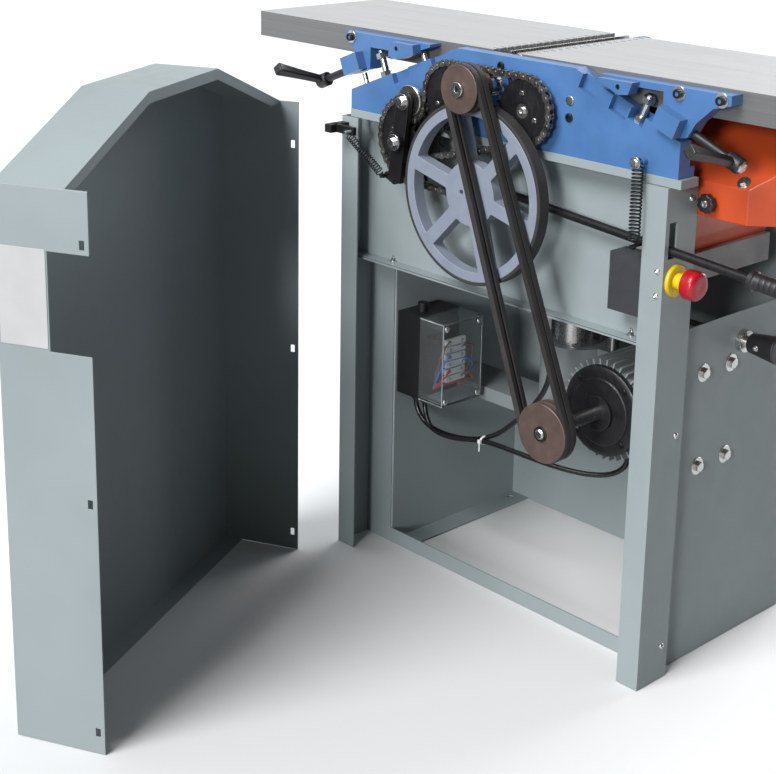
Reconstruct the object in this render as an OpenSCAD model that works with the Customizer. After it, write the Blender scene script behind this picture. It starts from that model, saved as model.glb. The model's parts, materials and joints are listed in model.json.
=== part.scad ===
// Combination planer thicknesser with its drive cover taken off and stood beside it.
// Millimetres, +Z up. The origin is on the floor at the middle of the four floor bolts,
// the drive side faces -Y and the tables run along X.

/* [Cabinet] */
// Width across the two front columns
frame_w = 620; // [600:2:680]
// Depth of the cabinet behind the columns
cabinet_d = 298; // [292:2:340]
// Depth of each column from its front lip to the wall
column_d = 62; // [58:1:70]
// Height of the columns
column_h = 712; // [700:1:714]
// Width of the lips that turn in at the front of the columns
lip_w = 36; // [25:1:40]
// Thickness of the folded sheet
sheet = 2.5; // [1.5:0.5:3]
// Height of the shelf angle
shelf_z = 490; // [480:1:500]
// Depth of the shelf angle
shelf_d = 42; // [30:1:46]
// Height of the side panels
panel_h = 503; // [500:1:515]
// Height of the bottom rail under the drive opening
rail_h = 24; // [15:1:40]
// Spacing of the floor bolts along the tables
floor_bolt_x = 470; // [440:2:478]
// Spacing of the floor bolts across the tables
floor_bolt_y = 250; // [240:2:260]
// Radius of the floor bolt holes
floor_bolt_r = 5.5; // [4:0.5:6.5]

/* [Tables] */
// Height of the planer tables above the floor
table_h = 845; // [842:1:855]
// Length over both tables
table_span = 1092; // [1000:2:1200]
// Width of each table
table_w = 268; // [266:1:274]
// Depth of the table edge
table_edge = 40; // [30:1:42]
// Thickness of the table top
table_top = 12; // [10:1:16]
// Half of the mouth between the two table lips
mouth = 27; // [25:1:32]
// Number of slots in each table lip
lip_slots = 17; // [8:1:20]

/* [Head castings] */
// Thickness of the near casting
casting_t = 23; // [21:1:23]
// Slope of the casting shoulders in degrees
shoulder = 22; // [21.5:0.5:22.5]
// Left end of the casting
casting_left = -295; // [-298:1:-290]
// Right end of the casting
casting_right = 320; // [312:1:324]

/* [Cutter] */
// Radius swept by the knives
cutter_r = 43; // [41:0.5:44]
// Length of the cutter block
cutter_l = 260; // [256:1:262]
// Number of knives
knives = 3; // [2:1:4]
// Radius of the cutter belt pulley
cutter_pulley_r = 34; // [30:1:38]
// Radius of the friction roller
friction_r = 20; // [19:0.5:21]

/* [Feed drive] */
// Outside radius of the friction wheel's tyre
tyre_r = 130; // [127:1:132]
// Thickness of the tyre
tyre_t = 5; // [3:0.5:7]
// Number of spokes
spokes = 6; // [4:1:8]
// Distance of each feed roller from the cutter
feed_x = 71; // [70:0.5:73]
// Radius of the feed rollers
feed_r = 18; // [15:0.5:20]
// Chain pitch
pitch = 12.7; // [12.4:0.1:12.8]
// Position of the intermediate stud across the machine
stud_x = -157; // [-160:0.5:-155]
// Diameter of the lever rod
rod_d = 12; // [10:0.5:14]
// Length of the lever from its pivot to the end of the grip
lever_l = 560; // [500:5:620]

/* [Motor] */
// Position of the motor across the machine
motor_x = 174; // [168:1:178]
// Height of the motor shaft
motor_z = 356; // [350:1:364]
// Radius of the motor over its fins
motor_r = 74; // [70:1:76]
// Radius of the motor belt pulley
motor_pulley_r = 42; // [36:1:48]

/* [Thicknesser] */
// Height of the thicknesser bed
bed_h = 595; // [585:1:600]
// Half length of the bed
bed_half = 270; // [220:5:272]
// Radius of the lift column
column_r = 40; // [35:1:42]
// Length of the crank arm
crank_l = 110; // [80:5:130]

/* [Cover] */
// Depth of the cover's side flanges
cover_d = 129; // [110:1:140]
// Height of the cover at its flanges
cover_side_h = 737; // [710:1:745]
// Height of the cover at its flat top
cover_top_h = 818; // [800:1:825]
// Height of the cover's lower edge above the floor when it hangs on its screws
cover_hang = 20; // [15:1:25]

/* [Fits] */
// Radial gap where a shaft turns in a hole
run_fit = 0.05; // [0.02:0.01:0.1]
// Gap between faces that slide past each other
slide_gap = 0.5; // [0.3:0.1:1]
// Gap between neighbouring layers of the drive
layer_gap = 3; // [2:0.5:4]

/* [Hidden] */
$fn = 48;

half_w = frame_w / 2;
wall_y = -cabinet_d / 2;
back_y = cabinet_d / 2;
lip_y = wall_y - column_d;
upper_wall_y = lip_y + 38;
ledge_t = 12;
casting_z = column_h + ledge_t;
casting_front = lip_y + 5;
casting_back = casting_front + casting_t;
casting_top = table_h - 2;
flat_left = -74;
flat_right = 144;

table_near = casting_back + 2;
table_far = table_near + table_w;
table_end = table_span / 2;
hinge_y = table_far + 25;
hinge_z = table_h - 27;
far_front = table_far + 5;
far_back = far_front + 36;
right_hinges = [130, 215];
hinge_places = [-215, -130, 130, 215];
hinge_half = 12;
hinge_lug = 10;
pin_r = 6;

// layers of the drive, from the casting forward
chain_w = 8;
chain_h = 11.8;
plate_t = 1.2;
sprocket_t = 4.8;
reduction_y = casting_front - 2 - chain_w / 2;
feed_y = reduction_y - chain_w - 2;
wheel_t = 20;
wheel_back = feed_y - chain_w / 2 - layer_gap;
wheel_front = wheel_back - wheel_t;
pulley_w = 25;
pulley_back = wheel_front - layer_gap;
pulley_front = pulley_back - pulley_w;

cutter_z = table_h - cutter_r;
cutter_near = casting_front + 35;
cutter_far = cutter_near + cutter_l;
shaft_r = 10;
journal_r = 12.5;
bearing_r = 26;
bearing_w = 15;
rest_gap = 0.8;
wheel_z = cutter_z - friction_r - tyre_r - rest_gap;
feed_z = cutter_z - 25;
feed_shaft_r = 10;
bush_r = 14;

feed_teeth = 23;
small_teeth = 14;
big_teeth = 31;
drive_teeth = 10;
function pitch_r(teeth) = pitch / (2 * sin(180 / teeth));
stud_z = cutter_z - 103;
stud_r = 10;
idler_r = 23.5;
idler_path_r = idler_r + chain_h / 2;
idler = [stud_x + 8, stud_z + 60];
arm_end = [stud_x - 8, stud_z - 61];
arm_w = 26;
arm_front = wheel_back - 10;
arm_back = wheel_back - 1;
arm_peg = [stud_x - 24, stud_z - 54];
peg_y = arm_front - 6;
bar_peg = [-262, stud_z - 2];

// lever with its eccentric pivot
throw = 6;
pivot = [-throw, wheel_z];
rod_y = lip_y + 16;
rod_r = rod_d / 2;
rod_tilt = 4.5;
hub_t = 14;
hub_r = 22;
lever_swing = 5;
function rod_z(x) = wheel_z - (x + throw) * tan(rod_tilt);
slot_low = rod_z(half_w) - rod_r - 4;
slot_high = rod_z(half_w) + (half_w + throw) * tan(lever_swing) + rod_r + 5;
spring_x = 268;
spring_y = casting_front - 15;
spring_top_z = casting_z + 16;
spring_low_z = rod_z(spring_x);
peg_r = 2.5;

// openings and inner walls
opening_left = -252;
opening_right = half_w - lip_w;
inner_left = opening_left + sheet;
inner_right = 295.5;
right_in = inner_right - sheet;

// motor and belts
motor_front = wall_y - 14;
bell_l = 20;
motor_cable_y = -84;
motor_l = 210;
cowl_l = 40;
bell_r = 62;
motor_shaft_r = 9.5;
belt_h = 8;
belt_w = 9.4;
groove_w = belt_w + 0.6;
belt_sit = 0.6;

// bed, lift and crank
bed_near = upper_wall_y + sheet + 2;
bed_far = far_front - 3;
bed_t = 40;
lift_y = 0;
nut_low = 506;
nut_r = 13;
screw_top = 531;
sleeve_top = 385;
beam_z = 250;
beam_h = 22;
crank_z = 460;
crank_r = 8;
screw_x = 72;
screw_r = 9;
column_low = 330;

// emergency stop
stop_y = lip_y + 26;
stop_z = 586;
stop_hole_r = 11.5;
cable_hole = [268, -182];

// places in the hood
hood_near = wall_y + 4;
hood_far = far_front - 6;
hood_low = bed_h + 0.3;
hood_floor = hood_low + 72;
hood_fold = hood_floor + 46;
hood_top = table_h - table_edge - 15;
hood_left = 100;
hood_right = 440;
hood_sheet = 2.5;
spigot_r = 50;
spigot_y = hood_far - 62;
spigot_z = hood_floor + 63;

// cover standing beside the machine
cover_sheet = 2;
screw_heights = [50, 364, 692];
cover_w = frame_w + 2 * cover_sheet + 2;
cover_at = [-444, -340];
cover_turn = -63;

// Plain solids

module box(low, high) {
    translate(low) cube(high - low);
}

// an outline in X and Z, drawn out along Y
module slab(y0, y1) {
    translate([0, y1, 0]) rotate([90, 0, 0]) linear_extrude(y1 - y0) children();
}

module along_y(r, y0, y1, x, z) {
    translate([x, y0, z]) rotate([-90, 0, 0]) cylinder(r = r, h = y1 - y0);
}

module along_x(r, x0, x1, y, z) {
    translate([x0, y, z]) rotate([0, 90, 0]) cylinder(r = r, h = x1 - x0);
}

module along_z(r, z0, z1, x, y) {
    translate([x, y, z0]) cylinder(r = r, h = z1 - z0);
}

// a flat bar between two points of an outline
module bar(from, to, w) {
    step = to - from;
    translate(from) rotate(atan2(step[1], step[0])) translate([0, -w / 2]) square([norm(step), w]);
}

// Belts and chains: each wheel is [x, z, radius, side], side 1 inside the loop and -1 outside it

function heading(a, b) =
    atan2(b[1] - a[1], b[0] - a[0]) + asin((a[3] * a[2] - b[3] * b[2]) / norm([b[0] - a[0], b[1] - a[1]]));
function positive(a) = ((a % 360) + 360) % 360;
function sweep(from, to, side) = side > 0 ? positive(to - from) : -positive(from - to);
function touch(c, a) = [c[0] + c[3] * c[2] * sin(a), c[1] - c[3] * c[2] * cos(a)];
function wrap(c, from, to) =
    let (total = sweep(from, to, c[3]), n = max(1, ceil(abs(total) / 8)))
    [for (i = [0:n]) touch(c, from + total * i / n)];
function around(list, i) = list[(i + len(list)) % len(list)];
function loop(list) = [
    for (i = [0:len(list) - 1])
        each wrap(list[i], heading(around(list, i - 1), list[i]), heading(list[i], around(list, i + 1)))
];
function grow(list, by) = [for (c = list) [c[0], c[1], c[2] + c[3] * by, c[3]]];

module band(list, inner, outer) {
    difference() {
        polygon(loop(grow(list, outer)));
        polygon(loop(grow(list, inner)));
    }
}

// rollers stand only on the straight runs, clear of the sprocket teeth
module run_rollers(list) {
    margin = 36;
    for (i = [0:len(list) - 1]) {
        a = heading(list[i], around(list, i + 1));
        start = touch(list[i], a);
        run = norm(touch(around(list, i + 1), a) - start);
        count = floor((run - 2 * margin) / pitch);
        if (count > 0)
            for (k = [0:count])
                translate(start + (margin + k * pitch) * [cos(a), sin(a)]) circle(r = 4);
    }
}

module chain(list, y) {
    front = y - chain_w / 2;
    back = y + chain_w / 2;
    slab(front, front + plate_t) band(list, -chain_h / 2, chain_h / 2);
    slab(back - plate_t, back) band(list, -chain_h / 2, chain_h / 2);
    slab(front, back) run_rollers(list);
}

module sprocket_outline(teeth) {
    r = pitch_r(teeth);
    root = r - 4.2;
    tip = r + 4.3;
    circle(r = root);
    for (i = [0:teeth - 1])
        rotate(360 / teeth * i)
            polygon([
                [root - 1, -3.4], [r + 1, -2.4], [tip, -0.9],
                [tip, 0.9], [r + 1, 2.4], [root - 1, 3.4]
            ]);
}

module sprocket(teeth, x, z, y) {
    slab(y - sprocket_t / 2, y + sprocket_t / 2) translate([x, z]) sprocket_outline(teeth);
}

feed_wheels = [
    [stud_x, stud_z, pitch_r(small_teeth), 1],
    [feed_x, feed_z, pitch_r(feed_teeth), 1],
    [-feed_x, feed_z, pitch_r(feed_teeth), 1],
    [idler[0], idler[1], idler_path_r, -1]
];
reduction_wheels = [
    [stud_x, stud_z, pitch_r(big_teeth), 1],
    [0, wheel_z, pitch_r(drive_teeth), 1]
];
belt_wheels = [
    [0, cutter_z, cutter_pulley_r + belt_sit, 1],
    [motor_x, motor_z, motor_pulley_r + belt_sit, 1]
];

// Wound wire and cable: one tube swept along a list of points

function unit(v) = v / norm(v);
function tangent(p, i) = unit(p[min(i + 1, len(p) - 1)] - p[max(i - 1, 0)]);
function square_to(u, t) = unit(u - (u * t) * t);
function sides_of(p, first) = [
    for (i = 0, u = square_to(first, tangent(p, 0)); i < len(p);
        i = i + 1, u = square_to(u, tangent(p, min(i, len(p) - 1)))) u
];

module tube(p, r, sides, first) {
    u = sides_of(p, first);
    rings = [
        for (i = [0:len(p) - 1])
            let (v = cross(tangent(p, i), u[i]))
            for (k = [0:sides - 1])
                p[i] + r * (cos(360 * k / sides) * u[i] + sin(360 * k / sides) * v)
    ];
    walls = [
        for (i = [0:len(p) - 2])
            for (k = [0:sides - 1])
                let (a = i * sides + k, b = i * sides + (k + 1) % sides)
                each [[a, b + sides, b], [a, a + sides, b + sides]]
    ];
    low_cap = [for (k = [0:sides - 1]) k];
    high_cap = [for (k = [sides - 1:-1:0]) (len(p) - 1) * sides + k];
    polyhedron(rings, concat(walls, [low_cap, high_cap]), convexity = 10);
}

// a coil spring from an eye at the origin up to an eye at the given length
rings_per_curl = 8;
function coil_path(l, coil_r, eye_r, curls) =
    let (low = eye_r + 3, n = curls * rings_per_curl)
    concat(
        [for (a = [-180:45:45]) [eye_r * cos(a), 0, eye_r * sin(a)]],
        [for (i = [0:n]) [coil_r * cos(45 * i), coil_r * sin(45 * i), low + (l - 2 * low) * i / n]],
        [for (a = [-45:45:180]) [eye_r * cos(a), 0, l + eye_r * sin(a)]]
    );

module coil_spring(l, coil_r, eye_r, wire_r, curls) {
    echo(self_gap = (l - 2 * (eye_r + 3)) / curls - 2 * wire_r);
    tube(coil_path(l, coil_r, eye_r, curls), wire_r, 6, [0, 1, 0]);
}

// Cabinet

module drive_side_frame() {
    color("gray") difference() {
        union() {
            difference() {
                box([-half_w, wall_y, 0], [half_w, wall_y + sheet, shelf_z]);
                box([opening_left, wall_y - 1, rail_h], [opening_right, wall_y + sheet + 1, shelf_z - 6]);
            }
            for (side = [-1, 1])
                mirror([side < 0 ? 1 : 0, 0, 0]) {
                    box([half_w - sheet, lip_y, 0], [half_w, wall_y + sheet, column_h]);
                    box([half_w - lip_w, lip_y, 0], [half_w, lip_y + sheet, column_h]);
                }
            spring_bar();
        }
        box([half_w - sheet - 1, rod_y - rod_r - 2, slot_low], [half_w + 1, rod_y + rod_r + 2, slot_high]);
        along_x(stop_hole_r, half_w - sheet - 1, half_w + 1, stop_y, stop_z);
    }
}

// bar on the left column that holds the tensioner's spring
module spring_bar() {
    box([-half_w + 2, peg_y - 3, bar_peg[1] - 6], [-half_w + 16, lip_y + 1, bar_peg[1] + 6]);
    box([-half_w + 2, peg_y + 8, bar_peg[1] - 6], [bar_peg[0] + 6, peg_y + 14, bar_peg[1] + 6]);
    along_y(peg_r, peg_y - 3, peg_y + 10, bar_peg[0], bar_peg[1]);
}

module upper_wall() {
    reach = half_w - sheet;
    color("gray") box([-reach, upper_wall_y, shelf_z], [reach, upper_wall_y + sheet, column_h]);
}

module shelf_angle() {
    front = wall_y - shelf_d;
    color("gray") difference() {
        union() {
            box([-half_w + sheet, front, shelf_z - sheet], [half_w - sheet, wall_y, shelf_z]);
            box([-half_w + sheet, front, shelf_z - 14], [half_w - sheet, front + sheet, shelf_z]);
        }
        along_z(7, shelf_z - sheet - 1, shelf_z + 1, cable_hole[0], cable_hole[1]);
    }
}

module casting_ledge() {
    color("gray") {
        box(
            [casting_left, casting_front - 1, column_h],
            [casting_right + 6, upper_wall_y + sheet, casting_z]
        );
        box([opening_left, far_front, column_h], [inner_right, back_y, casting_z]);
    }
}

// welded shell: two side panels, back panel and the floor flanges
module cabinet_shell() {
    low = wall_y + sheet;
    flange_in_left = -floor_bolt_x / 2 + 22;
    flange_in_right = floor_bolt_x / 2 - 22;
    color("gray") difference() {
        union() {
            box([opening_left, low, 0], [inner_left, back_y, panel_h]);
            box([right_in, low, 0], [inner_right, back_y, panel_h]);
            box([opening_left, back_y - sheet, 0], [inner_right, back_y, column_h]);
            box([opening_left, low, 0], [flange_in_left, back_y, 3]);
            box([flange_in_right, low, 0], [inner_right, back_y, 3]);
        }
        for (x = [-1, 1], y = [-1, 1])
            along_z(floor_bolt_r, -1, 4, x * floor_bolt_x / 2, y * floor_bolt_y / 2);
        along_x(crank_r + 4, right_in - 1, inner_right + 1, lift_y, crank_z);
    }
}

module frame_screws() {
    color("silver") {
        for (z = screw_heights) {
            along_x(4.5, half_w, half_w + 2.5, lip_y + 51, z);
            along_x(4.5, -half_w - 2.5, -half_w, lip_y + 41, z);
        }
        for (z = [568, 601])
            along_y(3.5, lip_y - 1.5, lip_y, half_w - 9, z);
        along_y(6.5, casting_front - 2, casting_front, 138, 799);
        along_y(6, casting_front - 4, casting_front, 138, 776);
        for (x = [-230:92:230])
            along_y(3.5, wall_y - shelf_d - 2, wall_y - shelf_d, x, shelf_z - 8);
    }
}

// Head castings

function left_shoulder(x) = casting_top - (flat_left - x) * tan(shoulder);
function right_shoulder(x) = casting_top - (x - flat_right) * tan(shoulder);

module casting_outline() {
    polygon([
        [casting_left, casting_z], [casting_left, left_shoulder(casting_left)], [flat_left, casting_top],
        [flat_right, casting_top], [casting_right, right_shoulder(casting_right)],
        [casting_right, casting_z]
    ]);
}

// hollows in the face of the near casting
module casting_hollows() {
    for (x = [-190, -110])
        translate([x, 0, left_shoulder(x)]) rotate([0, -shoulder, 0])
            box([-18, casting_front - 1, -16], [18, casting_front + 9, 1]);
    for (x = [172, 224])
        translate([x, 0, right_shoulder(x)]) rotate([0, shoulder, 0])
            box([-15, casting_front - 1, -20], [15, casting_front + 9, 1]);
    right_at() box([-13, casting_front - 1, -14], [13, casting_back - 1, 1]);
}

module near_casting() {
    color("royalblue") difference() {
        union() {
            slab(casting_front, casting_back) casting_outline();
            box([casting_left, casting_front, casting_z], [casting_right, upper_wall_y, casting_z + 14]);
            along_y(38, casting_front, cutter_near - 3, 0, cutter_z);
            for (x = [-feed_x, feed_x])
                along_y(24, casting_front, upper_wall_y, x, feed_z);
            along_y(4, casting_front - 22, casting_front + 1, spring_x, spring_top_z);
        }
        difference() {
            along_y(4.1, casting_front - 25, casting_front - 8, spring_x, spring_top_z);
            along_y(peg_r, casting_front - 26, casting_front, spring_x, spring_top_z);
        }
        along_y(bearing_r, casting_front + 5, casting_front + 5 + bearing_w, 0, cutter_z);
        along_y(journal_r + 3, casting_front - 1, casting_front + 60, 0, cutter_z);
        for (x = [-feed_x, feed_x])
            along_y(bush_r, casting_front - 1, upper_wall_y + 1, x, feed_z);
        casting_hollows();
    }
}

module far_casting() {
    top = hinge_z - 14;
    color("royalblue") difference() {
        union() {
            box([-230, far_front, casting_z], [260, far_back, top]);
            along_y(38, far_front, far_back, 0, cutter_z);
            for (x = hinge_places, side = [-1, 1]) {
                low = x + (side < 0 ? -hinge_half - hinge_lug : hinge_half) + side * slide_gap;
                box([low, hinge_y - 11, top - 1], [low + hinge_lug, hinge_y + 11, hinge_z]);
                along_x(11, low, low + hinge_lug, hinge_y, hinge_z);
            }
        }
        along_y(bearing_r, far_front + 10, far_front + 10 + bearing_w, 0, cutter_z);
        along_y(journal_r + 3, far_front - 1, far_back + 1, 0, cutter_z);
        for (x = [-feed_x, feed_x])
            along_y(bush_r, far_front - 1, far_back + 1, x, feed_z);
        for (x = hinge_places)
            along_x(pin_r + run_fit, x - 40, x + 40, hinge_y, hinge_z);
    }
}

// Planer tables, drawn on the right and mirrored for the left

module planer_table() {
    rib = 10;
    clear_r = cutter_r + 3;
    pockets = 4;
    pocket_l = (table_end - rib - clear_r - 14) / pockets;
    difference() {
        union() {
            box([mouth, table_near, table_h - table_edge], [table_end, table_far, table_h]);
            for (x = right_hinges)
                hinge_arm(x);
        }
        along_y(clear_r, table_near - 1, table_far + 1, 0, cutter_z);
        box([mouth - 1, table_near - 1, table_h - table_edge - 1],
            [clear_r + 4, table_far + 1, table_h - 14]);
        for (i = [0:pockets - 1], half = [0, 1]) {
            low_x = clear_r + 14 + i * pocket_l;
            low_y = table_near + rib + half * (table_w - rib) / 2;
            box([low_x, low_y, table_h - table_edge - 1],
                [low_x + pocket_l - rib, low_y + (table_w - 3 * rib) / 2, table_h - table_top]);
        }
        for (i = [0:lip_slots - 1])
            translate([mouth, table_near + 12 + i * (table_w - 24) / (lip_slots - 1), 0])
                box([-1, -2, table_h - 20], [11, 2, table_h + 1]);
        for (x = right_hinges)
            along_x(pin_r + run_fit, x - 40, x + 40, hinge_y, hinge_z);
    }
}

module hinge_arm(x) {
    along_x(11, x - hinge_half, x + hinge_half, hinge_y, hinge_z);
    box([x - hinge_half, table_far - 12, hinge_z - 9], [x + hinge_half, hinge_y, hinge_z + 9]);
}

module left_table() {
    color("lightgray") mirror([1, 0, 0]) planer_table();
}

module right_table() {
    color("lightgray") planer_table();
}

// brackets bolted to the near edges of the tables

bracket_front = table_near - 23;
bracket_top = table_h - 4;
block_front = bracket_front - 16;
set_screw_r = 3.5;

module left_table_bracket() {
    color("royalblue") difference() {
        union() {
            slab(bracket_front, table_near) polygon([
                [-310, bracket_top], [-310, bracket_top - 12], [-280, bracket_top - 36],
                [-309, bracket_top - 46], [-302, bracket_top - 65], [-256, bracket_top - 52],
                [-256, bracket_top - 19], [-212, bracket_top - 19], [-212, bracket_top - 32],
                [-130, bracket_top - 4], [-130, bracket_top]
            ]);
            slab(block_front, bracket_front + 1) polygon([
                [-200, bracket_top - 7], [-192, bracket_top - 2], [-150, bracket_top - 2],
                [-148, bracket_top - 14], [-174, bracket_top - 25], [-200, bracket_top - 25]
            ]);
            clamp_block(left_clamp);
        }
        clamp_bore(left_clamp);
        along_y(set_screw_r, block_front - 1, block_front + 6, -184, bracket_top - 11);
    }
    color("silver") bracket_bolt(-298);
}

module right_table_bracket() {
    color("royalblue") difference() {
        union() {
            slab(bracket_front, table_near) polygon([
                [186, bracket_top], [186, bracket_top - 3], [232, bracket_top - 22],
                [232, bracket_top - 9], [288, bracket_top - 9], [288, bracket_top - 52],
                [318, bracket_top - 64], [328, bracket_top - 62], [340, bracket_top - 42],
                [364, bracket_top - 20], [390, bracket_top - 13], [390, bracket_top]
            ]);
            slab(block_front, bracket_front + 1) polygon([
                [194, bracket_top - 2], [194, bracket_top - 6], [228, bracket_top - 20],
                [244, bracket_top - 18], [250, bracket_top - 2]
            ]);
            clamp_block(right_clamp);
        }
        clamp_bore(right_clamp);
        along_y(set_screw_r, block_front - 1, block_front + 6, 227, bracket_top - 10);
    }
    color("silver") for (x = [312, 376])
        bracket_bolt(x);
}

module bracket_bolt(x) {
    along_y(5.5, bracket_front - 5, bracket_front + 1, x, bracket_top - 8);
}

// block that the clamp's rod runs through
module clamp_block(clamp) {
    clamp_frame(clamp) box([-36, block_front - clamp_y, -10], [1, table_near - 2 - clamp_y, 17]);
}

// each clamp is [x, z, side]: the point where its rod leaves the bracket
left_clamp = [-300, table_h - 60, -1];
right_clamp = [320, table_h - 58, 1];
clamp_r = 6;
clamp_y = bracket_front + 11;

module clamp_frame(clamp) {
    translate([clamp[0], clamp_y, clamp[1]])
        mirror([clamp[2] < 0 ? 1 : 0, 0, 0]) rotate([0, shoulder, 0]) children();
}

module clamp_bore(clamp) {
    clamp_frame(clamp) along_x(clamp_r + run_fit, -22, 80, 0, 0);
}

module clamp_lever() {
    along_x(clamp_r, -20, 72, 0, 0);
    difference() {
        along_x(11, 68, 90, 0, 0);
        along_x(4, 86, 91, 0, 0);
    }
    translate([79, 0, 0]) rotate([90 - 16, 0, 0]) {
        cylinder(r1 = 7.5, r2 = 6, h = 60);
        translate([0, 0, 58]) cylinder(r1 = 8, r2 = 10.5, h = 36);
        translate([0, 0, 94]) sphere(r = 10.5);
    }
}

module left_clamp_lever() {
    color("black") clamp_frame(left_clamp) clamp_lever();
}

module right_clamp_lever() {
    color("black") clamp_frame(right_clamp) clamp_lever();
}

stud_length = 40;
stud_mid_y = casting_front + casting_t / 2;

module left_at() {
    translate([-228, 0, left_shoulder(-228)]) rotate([0, -shoulder, 0]) children();
}

module right_at() {
    translate([252, 0, right_shoulder(252)]) rotate([0, shoulder, 0]) children();
}

module hold_down_stud(low) {
    translate([0, stud_mid_y, low]) {
        cylinder(r = 5, h = stud_length);
        cylinder(r = 9, h = 8, $fn = 6);
        translate([0, 0, stud_length - 12]) cylinder(r = 9, h = 8, $fn = 6);
    }
}

// studs, stop screws and hinge pins that hold the tables
module table_fixings() {
    color("silver") {
        left_at() hold_down_stud(0);
        right_at() hold_down_stud(-14);
        for (s = [[-150, 15], [-275, 18]])
            translate([s[0], stud_mid_y + 3, left_shoulder(s[0])])
                rotate([0, -shoulder, 0]) cylinder(r = 4, h = s[1]);
        for (s = [[204, 9.5], [304, 3]])
            translate([s[0], stud_mid_y + 3, right_shoulder(s[0])])
                rotate([0, shoulder, 0]) cylinder(r = 4, h = s[1]);
        for (x = hinge_places)
            along_x(pin_r, x - hinge_half - hinge_lug, x + hinge_half + hinge_lug, hinge_y, hinge_z);
    }
}

// Cutter

module cutter_block() {
    color("silver") difference() {
        union() {
            along_y(cutter_r - 1.5, cutter_near, cutter_far, 0, cutter_z);
            along_y(journal_r, casting_front + 4, far_back - 2, 0, cutter_z);
            along_y(shaft_r, pulley_front - 3, casting_front + 5, 0, cutter_z);
        }
        for (i = [0:knives - 1])
            translate([0, 0, cutter_z]) rotate([0, 360 / knives * i, 0])
                box([-5, cutter_near - 1, cutter_r - 13], [8, cutter_far + 1, cutter_r + 5]);
    }
}

module cutter_knives() {
    color("silver") for (i = [0:knives - 1])
        translate([0, 0, cutter_z]) rotate([0, 360 / knives * i, 0])
            box([-5, cutter_near, cutter_r - 13], [-1, cutter_far, cutter_r - 0.3]);
}

module ring(outer, inner, y0, y1, x, z) {
    difference() {
        along_y(outer, y0, y1, x, z);
        along_y(inner, y0 - 1, y1 + 1, x, z);
    }
}

// two cutter bearings, four feed roller bushes and the crank's bush
module shaft_bearings() {
    near = casting_front + 5;
    far = far_front + 10;
    color("silver") {
        for (y = [near, far])
            ring(bearing_r, journal_r + run_fit, y, y + bearing_w, 0, cutter_z);
        for (x = [-feed_x, feed_x]) {
            ring(bush_r, feed_shaft_r + run_fit, casting_front, upper_wall_y, x, feed_z);
            ring(bush_r, feed_shaft_r + run_fit, far_front, far_back, x, feed_z);
        }
        difference() {
            union() {
                along_x(crank_r + 4, right_in, inner_right, lift_y, crank_z);
                along_x(16, inner_right, inner_right + 9, lift_y, crank_z);
            }
            along_x(crank_r + run_fit, right_in - 1, inner_right + 10, lift_y, crank_z);
        }
    }
}

module grooved_pulley(r, bore, x, z) {
    difference() {
        along_y(r, pulley_front, pulley_back, x, z);
        for (i = [0, 1]) {
            low = pulley_front + 2 + i * 11.5;
            ring(r + 1, r - belt_h, low, low + groove_w, x, z);
        }
        along_y(bore, pulley_front - 1, pulley_back + 1, x, z);
    }
}

module cutter_pulley() {
    color("sienna") grooved_pulley(cutter_pulley_r, shaft_r, 0, cutter_z);
}

module friction_roller() {
    color("sienna") ring(friction_r, shaft_r, wheel_front - 1, wheel_back, 0, cutter_z);
}

module v_belts() {
    color("dimgray") for (i = [0, 1]) {
        low = pulley_front + 2.3 + i * 11.5;
        slab(low, low + belt_w) band(belt_wheels, -belt_h, 0);
    }
}

// Motor

module motor_body() {
    low = motor_front + bell_l;
    fins = 36;
    color("darkgray") {
        slab(low, low + motor_l) translate([motor_x, motor_z]) {
            circle(r = motor_r - 9);
            for (i = [0:fins - 1])
                rotate(360 / fins * i) translate([motor_r - 10, -1.2]) square([10, 2.4]);
        }
        along_z(9, motor_z - motor_r - 12, motor_z - motor_r + 12, motor_x, motor_cable_y);
    }
}

module motor_end_caps() {
    low = motor_front;
    back = motor_front + bell_l + motor_l;
    color("black") {
        difference() {
            union() {
                along_y(bell_r + 4, low + 10, low + bell_l, motor_x, motor_z);
                along_y(bell_r - 14, low + 4, low + bell_l, motor_x, motor_z);
                along_y(26, low, low + bell_l, motor_x, motor_z);
            }
            along_y(motor_shaft_r + run_fit, low - 1, low + bell_l + 1, motor_x, motor_z);
        }
        difference() {
            along_y(motor_r - 2, back, back + cowl_l, motor_x, motor_z);
            for (i = [0:7])
                rotate_about_motor(45 * i) box([20, back + cowl_l - 3, -4], [58, back + cowl_l + 1, 4]);
        }
    }
}

module rotate_about_motor(a) {
    translate([motor_x, 0, motor_z]) rotate([0, a, 0]) children();
}

module motor_foot_plate() {
    low = motor_front + 70;
    color("dimgray") difference() {
        union() {
            box(
                [motor_x + motor_r - 6, low, motor_z - 68],
                [motor_x + motor_r + 4, low + 100, motor_z + 83]
            );
            for (z = [motor_z - 68, motor_z + 69])
                box([motor_x + motor_r + 3, low, z], [right_in, low + 100, z + 14]);
        }
        along_y(motor_r + 0.2, low - 1, low + 101, motor_x, motor_z);
    }
}

module motor_shaft() {
    color("silver") along_y(motor_shaft_r, pulley_front - 3, motor_front + bell_l, motor_x, motor_z);
}

module motor_pulley() {
    color("sienna") grooved_pulley(motor_pulley_r, motor_shaft_r, motor_x, motor_z);
}

// Feed drive

wheel_face = 5;
wheel_hub_r = 14;
window_r = 46;
spoke_w = 20;
first_spoke = 46;

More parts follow.
